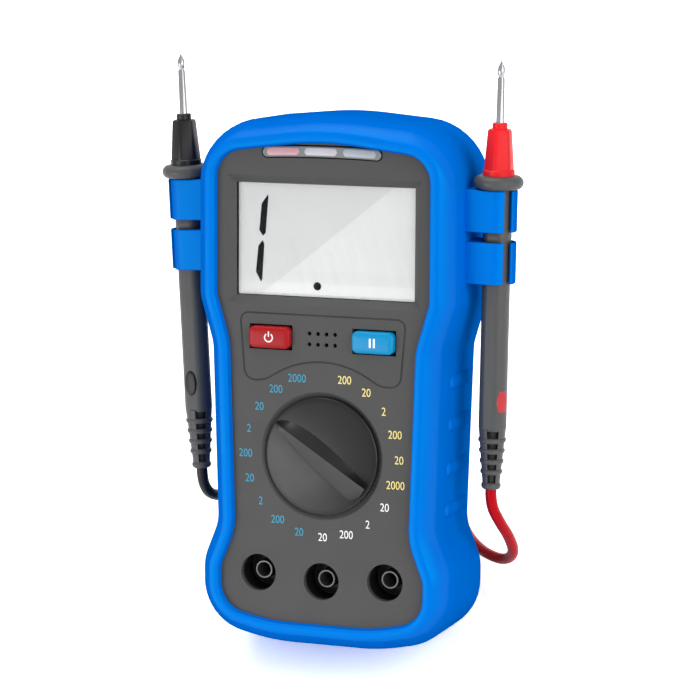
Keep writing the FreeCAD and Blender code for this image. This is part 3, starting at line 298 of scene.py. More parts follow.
class Shape:
    """Points in millimetres and faces, gathered from several simple skins."""

    def __init__(self):
        self.points = []
        self.faces = []

    def add(self, points, faces):
        """Another skin beside the others."""
        first = len(self.points)
        self.points += [Vector(point) for point in points]
        self.faces += [tuple(first + number for number in face) for face in faces]
        return self

    def loft(self, rings, wrap=False):
        """A skin through rings of as many points each, with flat ends unless it wraps round."""
        count = len(rings[0])
        rows = len(rings)
        faces = []
        for low in range(rows if wrap else rows - 1):
            high = (low + 1) % rows
            for here in range(count):
                after = (here + 1) % count
                foot, head = low * count, high * count
                faces.append((foot + here, foot + after, head + after, head + here))
        if not wrap:
            faces.append(tuple(reversed(range(count))))
            faces.append(tuple(range((rows - 1) * count, rows * count)))
        return self.add([point for ring in rings for point in ring], faces)

    def lathe(self, profile, middle=(0, 0), sides=48, wrap=False):
        """A skin turned about z from (radius, height) points."""
        x, y = middle
        turns = [2 * pi * step / sides for step in range(sides)]
        rings = []
        for radius, height in profile:
            rings.append([(x + radius * cos(turn), y + radius * sin(turn), height) for turn in turns])
        return self.loft(rings, wrap)

    def prism(self, outline, low, high):
        """An outline in x and y, drawn from a low level to a high one."""
        return self.loft([[(x, y, level) for x, y in outline] for level in (low, high)])


SHARP_EDGE = radians(35)


def show(name, shape, place, material, body, nodes=()):
    """The shape as a piece of one body, standing for the named nodes."""
    mesh = bpy.data.meshes.new(name)
    mesh.from_pydata([place @ (point * MM) for point in shape.points], [], shape.faces)
    whole = bmesh.new()
    whole.from_mesh(mesh)
    bmesh.ops.recalc_face_normals(whole, faces=whole.faces)
    whole.to_mesh(mesh)
    whole.free()
    mesh.materials.append(material)
    mesh.polygons.foreach_set("use_smooth", [True] * len(mesh.polygons))
    mesh.set_sharp_from_angle(angle=SHARP_EDGE)
    thing = placed(name, mesh)
    if body:
        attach(thing, body)
    if nodes:
        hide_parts(*nodes)
    return thing


def bevel(thing, width, segments=3, angle=35):
    """Rounded edges, in millimetres, wherever faces meet at more than so many degrees."""
    edge = thing.modifiers.new("edge", "BEVEL")
    edge.width = width * MM
    edge.segments = segments
    edge.limit_method = "ANGLE"
    edge.angle_limit = radians(angle)
    edge.harden_normals = True


LEAST_ROUND = 0.01


def rounded(corners, inset=0.0, steps=10):
    """A closed outline of (x, y, radius) corners, moved in by inset, with each corner as an arc."""
    count = len(corners)
    moved = []
    for here in range(count):
        before, middle, after = (Vector(corners[(here + step) % count][:2]) for step in (-1, 0, 1))
        come, go = (middle - before).normalized(), (after - middle).normalized()
        inward = Vector((-come.y - go.y, come.x + go.x)).normalized()
        convex = come.cross(go) > 0
        reach = inset / cos(come.angle(go) / 2)
        radius = corners[here][2] + (-inset if convex else inset)
        moved.append((middle + inward * reach, max(radius, LEAST_ROUND)))
    outline = []
    for here, (middle, radius) in enumerate(moved):
        before, after = moved[here - 1][0], moved[(here + 1) % count][0]
        come, go = (middle - before).normalized(), (after - middle).normalized()
        turn = atan2(come.cross(go), come.dot(go))
        start = middle - come * radius * tan(abs(turn) / 2)
        side = Vector((-come.y, come.x)) * copysign(radius, turn)
        for step in range(steps + 1):
            share = turn * step / steps
            outline.append(tuple(start + side - Matrix.Rotation(share, 2) @ side))
    return outline


def box_corners(half_wide, half_tall, radius):
    """The corners of an upright rectangle, anticlockwise from the lower left."""
    signs = ((-1, -1), (1, -1), (1, 1), (-1, 1))
    return [(half_wide * x, half_tall * y, radius) for x, y in signs]


def stepped(corners, edge, middle=(0, 0), steps=10):
    """Rings of an outline about a middle point, one for each (inset, level) of an edge."""
    rings = []
    for inset, level in edge:
        rings.append([(middle[0] + x, middle[1] + y, level) for x, y in rounded(corners, inset, steps)])
    return rings


SLOTS = {row["node"]: row["material_slot"] for row in frame["record"]["subparts"]}
JACKS = ("jack_left", "jack_middle", "jack_right")
# Nodes that stay in sight, with the rounding of their edges
EDGES = {
    "front_case": 0.35, "rear_case": 0.5, "battery_door": 0.4, "tilt_stand": 0.5, "jack_housing": 0.3,
    **dict.fromkeys(JACKS, 0.15), "transistor_socket": 0.2,
    "display_window": 0.15, "case_screws": 0.15, "battery_door_screw": 0.15,
}


def paint_nodes():
    """Every node gets the material of its slot, apart from the jacks."""
    for node, slot in SLOTS.items():
        data = NODES[node].data
        data.materials.clear()
        data.materials.append(JACK_NICKEL if node in JACKS else PAINT[slot])


def soften_nodes():
    """The nodes in sight lose their razor edges."""
    for node, width in EDGES.items():
        weld = NODES[node].modifiers.new("weld", "WELD")
        weld.merge_threshold = 0.001 * MM
        flat = NODES[node].modifiers.new("flat", "DECIMATE")
        flat.decimate_type = "DISSOLVE"
        flat.angle_limit = radians(0.5)
        bevel(NODES[node], width, segments=2, angle=40)


paint_nodes()
soften_nodes()

# Leads: the route points of the part, in millimetres from the floor's middle before the part's shift
ORIGIN_BACK = 18.5
LEAD_RADIUS = 1.6
RELIEF_LOW = -88.3
COIL_RADIUS = 17.0
COIL_STEP = 1.65
COIL_LOW = 2.2
COIL_RISE = 3.2
QUARTER_POINTS = 6
LEAD_POINTS = {
    "red": [
        (46.0, 3.4, 37.4), (47.2, 6.2, 29.6), (46.8, 9.2, 21.2), (42.2, 12.7, 15.1), (34.8, 17.7, 12.7),
        (28.6, 24.6, 10.6), (22.4, 34.0, 7.6), (17.6, 43.8, 4.8), (14.0, 54.0, 2.8), (9.2, 63.8, 2.2),
        (3.2, 73.4, 2.2), (-2.6, 83.0, 2.2),
    ],
    "black": [
        (-43.0, 3.3, 41.5), (-42.5, 4.7, 38.3), (-41.9, 8.0, 35.2), (-41.6, 12.6, 31.8), (-41.8, 16.6, 27.0),
        (-42.2, 19.4, 21.4), (-42.8, 21.0, 15.4), (-43.4, 22.0, 9.6), (-46.2, 23.8, 4.4), (-50.4, 26.6, 2.4),
        (-55.0, 32.4, 2.2), (-57.4, 39.4, 2.2),
    ],
}
LEAD_EXIT = {"red": 4.5, "black": 3.2}
COIL_PLACES = {"red": (-22.0, 84.5), "black": (-38.0, 46.0)}
TAIL_POINTS = [
    (15.4, 0.0, 8.6), (17.8, 12.0, 11.6), (18.4, 24.5, 12.4), (12.4, 33.2, 13.6), (2.8, 34.2, 14.6),
    (-4.0, 28.0, 15.2),
]
# The tie's band in section as (inset, share of its half width), and its end as (share of its size, level)
TIE_BAND = ((0.9, -0.96), (0.15, -1.0), (0.0, -0.85), (0.0, 0.85), (0.15, 1.0), (0.9, 0.96))
TIE_ROUND = 0.6
TIE_TAB = ((1.0, -0.5), (1.0, -0.12), (0.94, 0.0))
TAB_SHARE = (0.55, 0.8)
TAB_ROUND = 1.0
PLUG_END = (-4.0, 20.0, 15.2)
PLUG_MOUTH = (-4.0, -16.0, 15.2)
PLUG_RADIUS = 5.0
PLUG_HUB = 0.5
PLUG_EDGE = 0.3
PLUG_GROOVE = 0.45
PLUG_BORE = (3.3, 17.0)
PLUG_RIBS = (14.0, 6, 2.0)
PLUG_TAIL = (2.2, 26.0, 36.0)
# Each quarter turn of the coil: how far out of the middle, from -1 to 1, and which of the three rows
COIL_STEPS = [(1, 0)] * 4 + [(-1, 0)] * 3 + [(-1, 1)] * 3 + [(1, 1)] * 3 + [(1, 2)] * 3 + [(-1, 2)] * 5


def by_coil(word, point):
    """A point given from the middle of a lead's coil, mirrored to the lead's side."""
    across, along = COIL_PLACES[word]
    return across + SIDES[word] * point[0], along + point[1], point[2]


def on_floor(point):
    """A route point in the scene's frame, in metres."""
    return Vector((point[0], point[1] - ORIGIN_BACK, point[2])) * MM


def coil_points(word):
    """The tied coil's turns: a quarter turn from each step to the next."""
    points = []
    for number, (start, end) in enumerate(zip(COIL_STEPS, COIL_STEPS[1:])):
        for step in range(QUARTER_POINTS):
            share = step / QUARTER_POINTS
            turn = (number + share) * pi / 2
            out = COIL_RADIUS + COIL_STEP * (start[0] + (end[0] - start[0]) * share)
            rise = COIL_LOW + COIL_RISE * (start[1] + (end[1] - start[1]) * share)
            points.append(by_coil(word, (out * cos(turn), out * sin(turn), rise)))
    return points


def lead_route(word):
    """A lead's control points from its probe to its plug, in metres."""
    ends = [PROBES[word] @ Vector((0, 0, (RELIEF_LOW - down) * MM)) for down in (0, LEAD_EXIT[word])]
    tail = [by_coil(word, point) for point in TAIL_POINTS + [PLUG_END]]
    return ends + [on_floor(point) for point in LEAD_POINTS[word] + coil_points(word) + tail]


def lead_path(word):
    """The smooth line along a lead's control points, as points close together."""
    route = lead_route(word)
    data = bpy.data.curves.new(f"{word}_lead_line", "CURVE")
    data.dimensions = "3D"
    data.resolution_u = 6
    spline = data.splines.new("NURBS")
    spline.points.add(len(route) - 1)
    for point, place in zip(spline.points, route):
        point.co = (*place, 1)
    spline.order_u = 3
    spline.use_endpoint_u = True
    return [vertex.co.copy() for vertex in mesh_of(data).vertices]


def tube_rings(path, radius, sides=14):
    """Rings along a path that keep their turn from one to the next."""
    turns = [2 * pi * step / sides for step in range(sides)]
    rings = []
    across = None
    for number, here in enumerate(path):
        ahead = (path[min(number + 1, len(path) - 1)] - path[max(number - 1, 0)]).normalized()
        if across is None:
            across = ahead.orthogonal().normalized()
        across = (across - ahead * across.dot(ahead)).normalized()
        beside = ahead.cross(across)
        rings.append([here + (across * cos(turn) + beside * sin(turn)) * radius for turn in turns])
    return rings


def tie(word):
    """A cloth band round the coil's turns, with its end laid over it."""
    node = f"{word}_lead_tie"
    low, high = (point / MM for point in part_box(node))
    middle = (low + high) / 2
    half = (high - low) / 2
    corner = min(half.x, half.z) * TIE_ROUND
    band = Shape()
    rings = []
    for inset, share in TIE_BAND:
        outline = rounded(box_corners(half.x, half.z, corner), inset, 8)
        rings.append([(middle.x + x, middle.y + share * half.y, middle.z + z) for x, z in outline])
    band.loft(rings, wrap=True)
    tab = rounded(box_corners(half.x * TAB_SHARE[0], half.y * TAB_SHARE[1], TAB_ROUND), 0.0, 6)
    lap = []
    for share, level in TIE_TAB:
        lap.append([(middle.x + x * share, middle.y + y * share, high.z + level) for x, y in tab])
    band.loft(lap)
    return show(f"{word}_cable_tie", band, Matrix.Identity(4), PAINT["tie_fabric"], "meter", nodes=(node,))


def plug(word):
    """A shrouded plug lying on the coil: an open bore, a ribbed grip and a tapered tail."""
    bore, deep = PLUG_BORE
    start, count, pitch = PLUG_RIBS
    tail, shoulder, end = PLUG_TAIL
    profile = [(PLUG_HUB, deep), (bore, deep), (bore, PLUG_EDGE), (bore + PLUG_EDGE, 0.0)]
    profile += [(PLUG_RADIUS - PLUG_EDGE, 0.0), (PLUG_RADIUS, PLUG_EDGE)]
    profile.append((PLUG_RADIUS, start - 2 * PLUG_EDGE))
    groove = PLUG_RADIUS - PLUG_GROOVE
    for number in range(count):
        low = start + pitch * number
        profile += [(groove, low), (groove, low + pitch * 0.35)]
        profile += [(PLUG_RADIUS, low + pitch * 0.5), (PLUG_RADIUS, low + pitch * 0.85)]
    profile += [(PLUG_RADIUS - PLUG_EDGE, shoulder + 0.4), (tail + 0.2, end - 0.4), (tail - 0.1, end)]
    profile.append((PLUG_HUB, end))
    mouth = on_floor(by_coil(word, PLUG_MOUTH))
    place = Matrix.Translation(mouth) @ Matrix.Rotation(-pi / 2, 4, "X")
    node = f"{word}_plug"
    shape = Shape().lathe(profile, wrap=True)
    return show(f"{word}_shroud", shape, place, PAINT[SLOTS[node]], "meter", nodes=(node,))


def leads():
    """Both test leads: from the probe down to the floor, round a tied coil, and into the plug."""
    for word in SIDES:
        path = lead_path(word)
        skin = Shape().loft(tube_rings([point / MM for point in path], LEAD_RADIUS))
        jacket = show(f"{word}_test_lead", skin, Matrix.Identity(4), PAINT[f"{word}_jacket"], None,
                      nodes=(f"{word}_lead", f"{word}_lead_coil", f"{word}_lead_tail"))
        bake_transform(jacket)
        carried = [plug(word), NODES[f"{word}_plug_pin"], tie(word)]


leads()

# Holster: the device's own frame has its origin at the middle of the bottom edge of its back
DIAL_UP = 55.4
PANEL_OUT = 35.5
DEVICE = PANEL @ Matrix.Translation(Vector((0, -DIAL_UP, -PANEL_OUT)) * MM)
HOLSTER_SIDE = [
    (16.0, 0.0, 60.0), (37.6, 4.6, 15.5), (37.6, 23.4, 13.0), (33.3, 34.4, 13.0), (34.9, 85.4, 13.0),
    (38.8, 98.9, 13.0), (38.8, 146.144, 15.0),
]
HOLSTER_HIGH = 151.144
TOP_ROUND = 90.0
SHOULDER_RISE = 1.5
SHOULDER_ROUND = 4.0
BACK_ROUND = 7.0
LIP_START = 28.0
LIP_RIM = 3.9
LIP_TOP = 37.55
LIP_TURN = radians(60)
LIP_STEP = 0.45
MOUTH_START = 5.7
MOUTH_DROP = 0.2
# Parts of the wall as (inset, level), and the crease of its lip as (inset, share of the step)
BACK_RIM = [(8.0, 2.85), (8.0, 0.6), (7.4, 0.0)]
LIP_CREASE = [(0.16, 0.8), (0.36, 0.62), (0.6, 0.52)]
LIP_INNER = [(6.3, LIP_TOP), (6.6, 37.4), (6.85, 37.1), (7.0, 36.5), (7.2, 35.55)]
WALL_INSIDE = [(4.1, 35.45), (4.1, 2.85)]
RIB_PLACES = (76.8, 64.8, 52.2, 40.4)
RIB_HALF = (9.5, 2.3)
RIB_MIDDLE = 16.8
RIB_RISE = 0.85
RIB_EDGE = ((0.0, -0.4), (0.3, 0.25), (0.8, 0.6), (1.4, 0.85), (2.0, 0.98))


def holster_ring(inset, level):
    """The holster's outline at a level, with fuller shoulders outside and a flatter top to its mouth."""
    x, y, radius = HOLSTER_SIDE[-1]
    full = max(1 - inset / LIP_RIM, 0.0)
    shoulder = (x, y + SHOULDER_RISE * full, radius + SHOULDER_ROUND * full)
    side = HOLSTER_SIDE[:-1] + [shoulder]
    other = [(-x, y, radius) for x, y, radius in reversed(side)]
    drop = MOUTH_DROP * max(inset - MOUTH_START, 0.0) if level > PANEL_OUT else 0.0
    top = (0.0, HOLSTER_HIGH - drop, TOP_ROUND)
    return [(x, y, level) for x, y in rounded(side + [top] + other, inset)]


def holster_profile():
    """The holster's wall as (inset, level): the back rim, the outside, the front lip, the inside."""
    turns = [pi / 2 * step / 8 for step in range(9)]
    back = [(BACK_ROUND * (1 - sin(turn)), BACK_ROUND * (1 - cos(turn))) for turn in turns]
    wide = LIP_RIM / (1 - cos(LIP_TURN))
    tall = (LIP_TOP - LIP_STEP - LIP_START) / sin(LIP_TURN)
    turns = [LIP_TURN * step / 8 for step in range(9)]
    lip = [(wide * (1 - cos(turn)), LIP_START + tall * sin(turn)) for turn in turns]
    crease = [(LIP_RIM + inset, LIP_TOP - LIP_STEP * share) for inset, share in LIP_CREASE]
    return BACK_RIM + back + lip + crease + LIP_INNER + WALL_INSIDE


def waist_side(height):
    """How far out the holster's straight waist is at a height."""
    low, high = HOLSTER_SIDE[3], HOLSTER_SIDE[4]
    return low[0] + (high[0] - low[0]) * (height - low[1]) / (high[1] - low[1])


def grip_ribs(shape, side):
    """Four low ribs across one side of the waist."""
    outline = box_corners(RIB_HALF[0], RIB_HALF[1], RIB_HALF[1] - 0.05)
    for height in RIB_PLACES:
        rings = []
        for inset, rise in RIB_EDGE:
            rings.append([
                (side * (waist_side(height + y) + RIB_RISE * rise), height + y, RIB_MIDDLE + z)
                for z, y in rounded(outline, inset, 8)
            ])
        shape.loft(rings)


def holster():
    """The rubber holster: one rounded wall all round, with a lip over the panel's edge."""
    shape = Shape()
    shape.loft([holster_ring(*point) for point in holster_profile()], wrap=True)
    for side in SIDES.values():
        grip_ribs(shape, side)
    show("holster_wall", shape, DEVICE, PAINT["holster_rubber"], "meter", nodes=("holster",))


CLIP_SPANS = ((-15.5, -3.9), (-29.9, -18.3))
CLIP_RADIUS = 5.4
CLIP_BORE = 4.25
CLIP_NECK = 10.0
SLIT_HEADING = -39.0
SLIT_HALF = 13.0


def arc(radius, start, end, steps):
    """Points of an arc from one heading to another, in degrees."""
    turns = [radians(start + (end - start) * step / steps) for step in range(steps + 1)]
    return [(radius * cos(turn), radius * sin(turn)) for turn in turns]


def clip_outline(side):
    """A clip in section: a neck from the holster, and a ring open towards the front."""
    inner = degrees(asin(CLIP_RADIUS * sin(radians(SLIT_HALF)) / CLIP_BORE))
    outline = arc(CLIP_RADIUS, -90, SLIT_HEADING - SLIT_HALF, 8)
    outline += arc(CLIP_BORE, SLIT_HEADING - inner, SLIT_HEADING + inner - 360, 40)
    outline += arc(CLIP_RADIUS, SLIT_HEADING + SLIT_HALF, 90, 24)
    outline += [(-CLIP_NECK, CLIP_RADIUS), (-CLIP_NECK, -CLIP_RADIUS)]
    return [(side * x, y) for x, y in outline]


def clips():
    """Two clips for each probe."""
    for word, side in SIDES.items():
        shape = Shape()
        for low, high in CLIP_SPANS:
            shape.prism(clip_outline(side), low, high)
        slot = SLOTS["holster"]
        bevel(show(f"{word}_probe_clips", shape, PROBES[word], PAINT[slot], "meter"), 0.4)


holster()
clips()

# Tilt stand: its frame has x along the hinge and y from the foot up to the hinge
STAND_OPEN = radians(36)
STAND_OUTER = -5.1
STAND_RIB = (7.5, 0.55)
STAND_RIB_EDGE = ((0.0, -0.3), (0.0, 0.05), (0.2, 0.22), (0.45, 0.28))
STAND_RIB_PLACES = (-59.0, -61.6, -64.2, -66.8, -69.4)


def stand_ribs():
    """Low ribs across the back of the stand near its foot, to lift it with a finger."""
    hinge = Matrix.Translation(Vector(JOINTS["stand_fold"]["pos_m"]))
    place = hinge @ PANEL.to_3x3().to_4x4() @ Matrix.Rotation(STAND_OPEN, 4, "X")
    corners = box_corners(*STAND_RIB, STAND_RIB[1] - 0.02)
    edge = [(inset, STAND_OUTER - out) for inset, out in STAND_RIB_EDGE]
    shape = Shape()
    for along in STAND_RIB_PLACES:
        shape.loft(stepped(corners, edge, (0, along), 6))
    slot = SLOTS["tilt_stand"]
    show("stand_ribs", shape, place, PAINT[slot], "stand")


stand_ribs()

# Panel: print, lamps, display and buttons
PRINT_TALL = 0.04
LABEL_RADIUS = 23.0
LABEL_TALL = 2.3
LABEL_NARROW = 0.84
LABEL_START = 73.0
LABEL_STEP = 18.0
LABELS = (
    (PRINT_YELLOW, ("200", "20", "2", "200", "20", "2000")),
    (PRINT_WHITE, ("20", "2", "200", "20")),
    (PRINT_BLUE, ("20", "200", "2", "20", "200", "2", "20", "200", "2000")),
)


def lettering(shape, text, middle):
    """A printed word: thin raised letters about a middle point of the panel."""
    data = bpy.data.curves.new("word", "FONT")
    data.body = text
    data.align_x = "CENTER"
    data.extrude = 0.5
    mesh = mesh_of(data)
    places = [vertex.co for vertex in mesh.vertices]
    low, high = (pick(place.y for place in places) for pick in (min, max))
    left, right = (pick(place.x for place in places) for pick in (min, max))
    size = LABEL_TALL / (high - low)
    points = []
    for place in places:
        x = middle[0] + (place.x - (left + right) / 2) * size * LABEL_NARROW
        y = middle[1] + (place.y - (low + high) / 2) * size
        points.append((x, y, place.z * 2 * PRINT_TALL))
    shape.add(points, [tuple(face.vertices) for face in mesh.polygons])
    bpy.data.meshes.remove(mesh)


def dial_numbers():
    """Plain numbers round the dial, a colour for each kind of range."""
    place = 0
    for number, (ink, words) in enumerate(LABELS):
        shape = Shape()
        for text in words:
            turn = radians(LABEL_START - LABEL_STEP * place)
            lettering(shape, text, (LABEL_RADIUS * cos(turn), LABEL_RADIUS * sin(turn)))
            place += 1
        show(f"dial_numbers_{number + 1}", shape, PANEL, ink, "meter")


PLATE_MIDDLE = (0.0, 31.06, 26.4)
PLATE_SIDE = [(17.2, 20.4, 8.0), (23.4, 20.4, 3.4), (24.95, 39.9, 2.6)]
PLATE_LINE = 0.5


def plate_shade_line():
    """A thin dark line round the buttons and the socket: painted shade of a fine groove."""
    right = [PLATE_MIDDLE] + PLATE_SIDE
    corners = right + [(-x, y, radius) for x, y, radius in reversed(PLATE_SIDE)]
    wall = ((0.0, -0.2), (0.0, 0.05), (PLATE_LINE, 0.05), (PLATE_LINE, -0.2))
    shape = Shape().loft(stepped(corners, wall), wrap=True)
    show("plate_shade_line", shape, PANEL, GROOVE_SHADE, "meter")


LENS_HALF = 17.9
LENS_MIDDLE = (-0.35, 85.3)
LENS_TALL = 3.6
LENS_SAG = 360.0
LENS_TOP = 0.4
LENS_LINE = 0.35
LAMPS = ((-11.4, LAMP_PINK, "left"), (-0.2, LAMP_PALE, "middle"), (11.2, LAMP_GREY, "right"))
LAMP_HALF = 4.8


def lens_bar(half_wide, half_tall, across, levels):
    """Rings of a bar with round ends that follows the lens strip's slight arch."""
    straight = half_wide - half_tall
    outline = [(straight * (step / 4 - 1), -half_tall) for step in range(8)]
    outline += [(straight + x, y) for x, y in arc(half_tall, -90, 90, 10)]
    outline += [(-x, -y) for x, y in outline]
    rings = []
    for inset, level in levels:
        ring = []
        for x, y in outline:
            along = across + x * (1 - inset / half_wide)
            rise = y * (1 - inset / half_tall) - along ** 2 / (2 * LENS_SAG)
            ring.append((LENS_MIDDLE[0] + along, LENS_MIDDLE[1] + rise, level))
        rings.append(ring)
    return rings


def lamp_lens():
    """The arched strip at the top: a smoky bar in a dark outline, with three lamp windows."""
    tall = LENS_TALL / 2
    line = Shape().loft(lens_bar(LENS_HALF, tall, 0.0, ((0.0, -1.0), (0.0, 0.08), (0.1, 0.12))))
    show("lens_outline", line, PANEL, PRINT_BLACK, "meter")
    edge = ((0.0, -0.5), (0.0, 0.2), (0.2, LENS_TOP))
    bar = Shape().loft(lens_bar(LENS_HALF - LENS_LINE, tall - LENS_LINE, 0.0, edge))
    show("lens_strip", bar, PANEL, LENS_SMOKE, "meter", nodes=("indicator_lens",))
    for across, glow, word in LAMPS:
        levels = ((0.0, 0.2), (0.0, LENS_TOP), (0.15, LENS_TOP + 0.08), (0.5, LENS_TOP + 0.12))
        pane = Shape().loft(lens_bar(LAMP_HALF, tall - LENS_LINE * 2.2, across, levels))
        show(f"lens_window_{word}", pane, PANEL, glow, "meter")


SEGMENT_LEVEL = -3.15
UPPER_BAR = ((-17.6, 72.7), (-19.5, 70.1), (-20.2, 62.6), (-19.1, 61.0), (-18.3, 61.9), (-17.5, 72.0))
LOWER_BAR = ((-19.2, 59.8), (-20.5, 58.1), (-21.2, 50.8), (-19.6, 48.0), (-19.3, 49.0), (-18.7, 58.7))
POINT_MIDDLE = (-2.7, 47.5)
POINT_RADIUS = 1.15
DISPLAY_HALF = (26.5, 15.85)
DISPLAY_MIDDLE = (0.0, 60.2)
DISPLAY_LINE = 1.6
DISPLAY_UNDER = 1.5
DISPLAY_ROUND = 2.0
BORDER_TALL = 0.1


def display_marks():
    """The display's lit bars, its point and its dark border, as thin prints on the glass."""
    shape = Shape()
    point = [(POINT_MIDDLE[0] + x, POINT_MIDDLE[1] + y) for x, y in arc(POINT_RADIUS, 0, 345, 23)]
    for outline in (UPPER_BAR, LOWER_BAR, point):
        shape.prism(outline, SEGMENT_LEVEL, SEGMENT_LEVEL + PRINT_TALL)
    low, high = SEGMENT_LEVEL, SEGMENT_LEVEL + BORDER_TALL
    border = ((0.0, low), (0.0, high), (DISPLAY_LINE, high), (DISPLAY_LINE, low))
    corners = box_corners(*(half + DISPLAY_UNDER for half in DISPLAY_HALF), DISPLAY_ROUND)
    shape.loft(stepped(corners, border, DISPLAY_MIDDLE, 4), wrap=True)
    show("display_marks", shape, PANEL, PRINT_BLACK, "meter")


BUTTON_MIDDLE = (15.4, 33.0)
BUTTON_HALF = (6.2, 3.1)
BUTTON_ROUND = 1.7
BUTTON_TOP = 1.8
BUTTON_EDGE = ((0.0, -2.0), (0.0, 1.0), (0.12, 1.35), (0.4, 1.6), (0.9, 1.74), (1.5, BUTTON_TOP))
MARK_RADIUS = 1.35
MARK_LINE = 0.35
POWER_BAR = (0.18, 0.75, 0.1)
POWER_BAR_RISE = 1.0
HOLD_BAR = (0.28, 1.3, 0.15)
HOLD_BAR_ASIDE = 0.6


def button(word, side, paint):
    """A soft-edged push button."""
    middle = (side * BUTTON_MIDDLE[0], BUTTON_MIDDLE[1])
    shape = Shape().loft(stepped(box_corners(*BUTTON_HALF, BUTTON_ROUND), BUTTON_EDGE, middle, 6))
    show(f"{word}_cap", shape, PANEL, paint, f"{word}_key", nodes=(f"{word}_button",))


def button_marks():
    """A ring with a bar on the left button, two bars on the right one."""
    across, along = BUTTON_MIDDLE
    low, high = BUTTON_TOP - 0.1, BUTTON_TOP + PRINT_TALL
    power = Shape()
    ring = arc(MARK_RADIUS, 125, 415, 30) + arc(MARK_RADIUS - MARK_LINE, 415, 125, 30)
    power.prism([(x - across, y + along) for x, y in ring], low, high)
    bar = rounded(box_corners(*POWER_BAR), 0.0, 4)
    power.prism([(x - across, y + along + POWER_BAR_RISE) for x, y in bar], low, high)
    show("power_mark", power, PANEL, PRINT_WHITE, "power_key")
    hold = Shape()
    bar = rounded(box_corners(*HOLD_BAR), 0.0, 4)
    for aside in (-HOLD_BAR_ASIDE, HOLD_BAR_ASIDE):
        hold.prism([(x + across + aside, y + along) for x, y in bar], low, high)
    show("hold_mark", hold, PANEL, PRINT_WHITE, "hold_key")


JACK_RIM = ((6.6, -0.2), (6.6, 0.01), (6.2, 0.0), (5.75, -0.12), (5.42, -0.45), (5.3, -1.1), (5.6, -1.2))


def jack_rims():
    """A rounded edge of the panel at the mouth of each input socket."""
    shape = Shape()
    for node in JACKS:
        low, high = extent(node, PANEL)
        shape.lathe(JACK_RIM, ((low.x + high.x) / 2, (low.y + high.y) / 2), 64, wrap=True)
    show("jack_rims", shape, PANEL, PAINT["panel_plastic"], "meter")


dial_numbers()
plate_shade_line()
jack_rims()
lamp_lens()
display_marks()
button("power", -1, BUTTON_RED)
button("hold", 1, PAINT["blue_plastic"])
button_marks()

# Dial knob
KNOB_RADIUS = 16.8
KNOB_RIM = 0.3
KNOB_DOME = 1.2
GRIP_HEADING = radians(144)
GRIP_REACH = 15.9
GRIP_TOP = 3.35
GRIP_NOSE = 0.5
GRIP_BROAD = 4.2
GRIP_LEAN = 1.9
GRIP_STEEP = 3.9
GRIP_TILT = 0.9
GRIP_END = 3.0
GRIP_DROP = 0.9
GRIP_FOOT = -2.0
# The edge of the grip's broad face as (share of the face, level), and of the disc as (inset, level)
GRIP_EDGE = ((0.0, -0.3), (0.015, -0.1), (0.05, 0.0))
FACE_START = 0.12
KNOB_EDGE = ((0.3, -2.2), (0.0, -0.6), (0.08, 0.05), (0.25, KNOB_RIM - 0.03))
KNOB_HUB = (3.0, -2.2)
WELL_FLOOR = -1.0


def knob_level(radius):
    """The height of the knob's gently domed face."""
    return KNOB_RIM + KNOB_DOME * (1 - (radius / KNOB_RADIUS) ** 2)


def crest(along):
    """The height of the grip's crest, lower at the pointing end."""
    return GRIP_TOP - GRIP_DROP * max((along - GRIP_REACH) / GRIP_END + 1, 0.0) ** 2


def broad_face(along):
    """How far the grip's broad face reaches to its side, growing from the nose to a round tail."""
    share = (GRIP_REACH - along) / (2 * GRIP_REACH)
    end = max(1 - (along + GRIP_REACH) / GRIP_END, 0.0)
    wide = GRIP_NOSE + (GRIP_BROAD - GRIP_NOSE) * (1 - (1 - share) ** 2.6)
    return wide * sqrt(max(1 - end ** 2, 0.1))


def grip_section(along):
    """The grip across its pointing line: a broad face, a crest that leans aside, and a steep face."""
    share = (GRIP_REACH - along) / (2 * GRIP_REACH)
    broad, top = broad_face(along), crest(along)
    ridge = -GRIP_LEAN * share
    face = broad - ridge
    edge = top - GRIP_TILT * face / (GRIP_BROAD + GRIP_LEAN)
    steep = GRIP_STEEP * max(4 * share * (1 - share), 0.01) ** 0.7 * (1.2 - share * 0.75)
    low = knob_level(hypot(along, ridge - steep)) - 0.05
    section = [(broad, GRIP_FOOT)] + [(broad - face * part, edge + level) for part, level in GRIP_EDGE]
    section += [(broad - face * FACE_START, edge + (top - edge) * FACE_START), (ridge, top)]
    for step in range(1, 5):
        section.append((ridge - steep * step / 4, low + (top - low) * (1 - step / 4) ** 1.15))
    return section + [(ridge - steep, GRIP_FOOT)]


def grip_point(along, aside, level):
    """A place beside the grip's pointing line."""
    ahead = (cos(GRIP_HEADING), sin(GRIP_HEADING))
    return along * ahead[0] - aside * ahead[1], along * ahead[1] + aside * ahead[0], level


def grip_stations():
    """Places along the pointing line, closer together at its ends."""
    return [GRIP_REACH * sin(pi * (step / 40 - 0.5)) for step in range(41)]


def grip_shade_line():
    """A thin dark strip on the disc along the foot of the broad face: painted shade where the face meets the disc.
    """
    rings = []
    for along in grip_stations():
        broad = broad_face(along)
        level = knob_level(hypot(along, broad))
        wall = ((-0.1, -0.3), (0.26, -0.3), (0.26, 0.03), (-0.1, 0.03))
        rings.append([grip_point(along, broad + out, level + rise) for out, rise in wall])
    return rings


def grip_rings():
    """The grip in sections along the pointing line."""
    return [[grip_point(along, *point) for point in grip_section(along)] for along in grip_stations()]


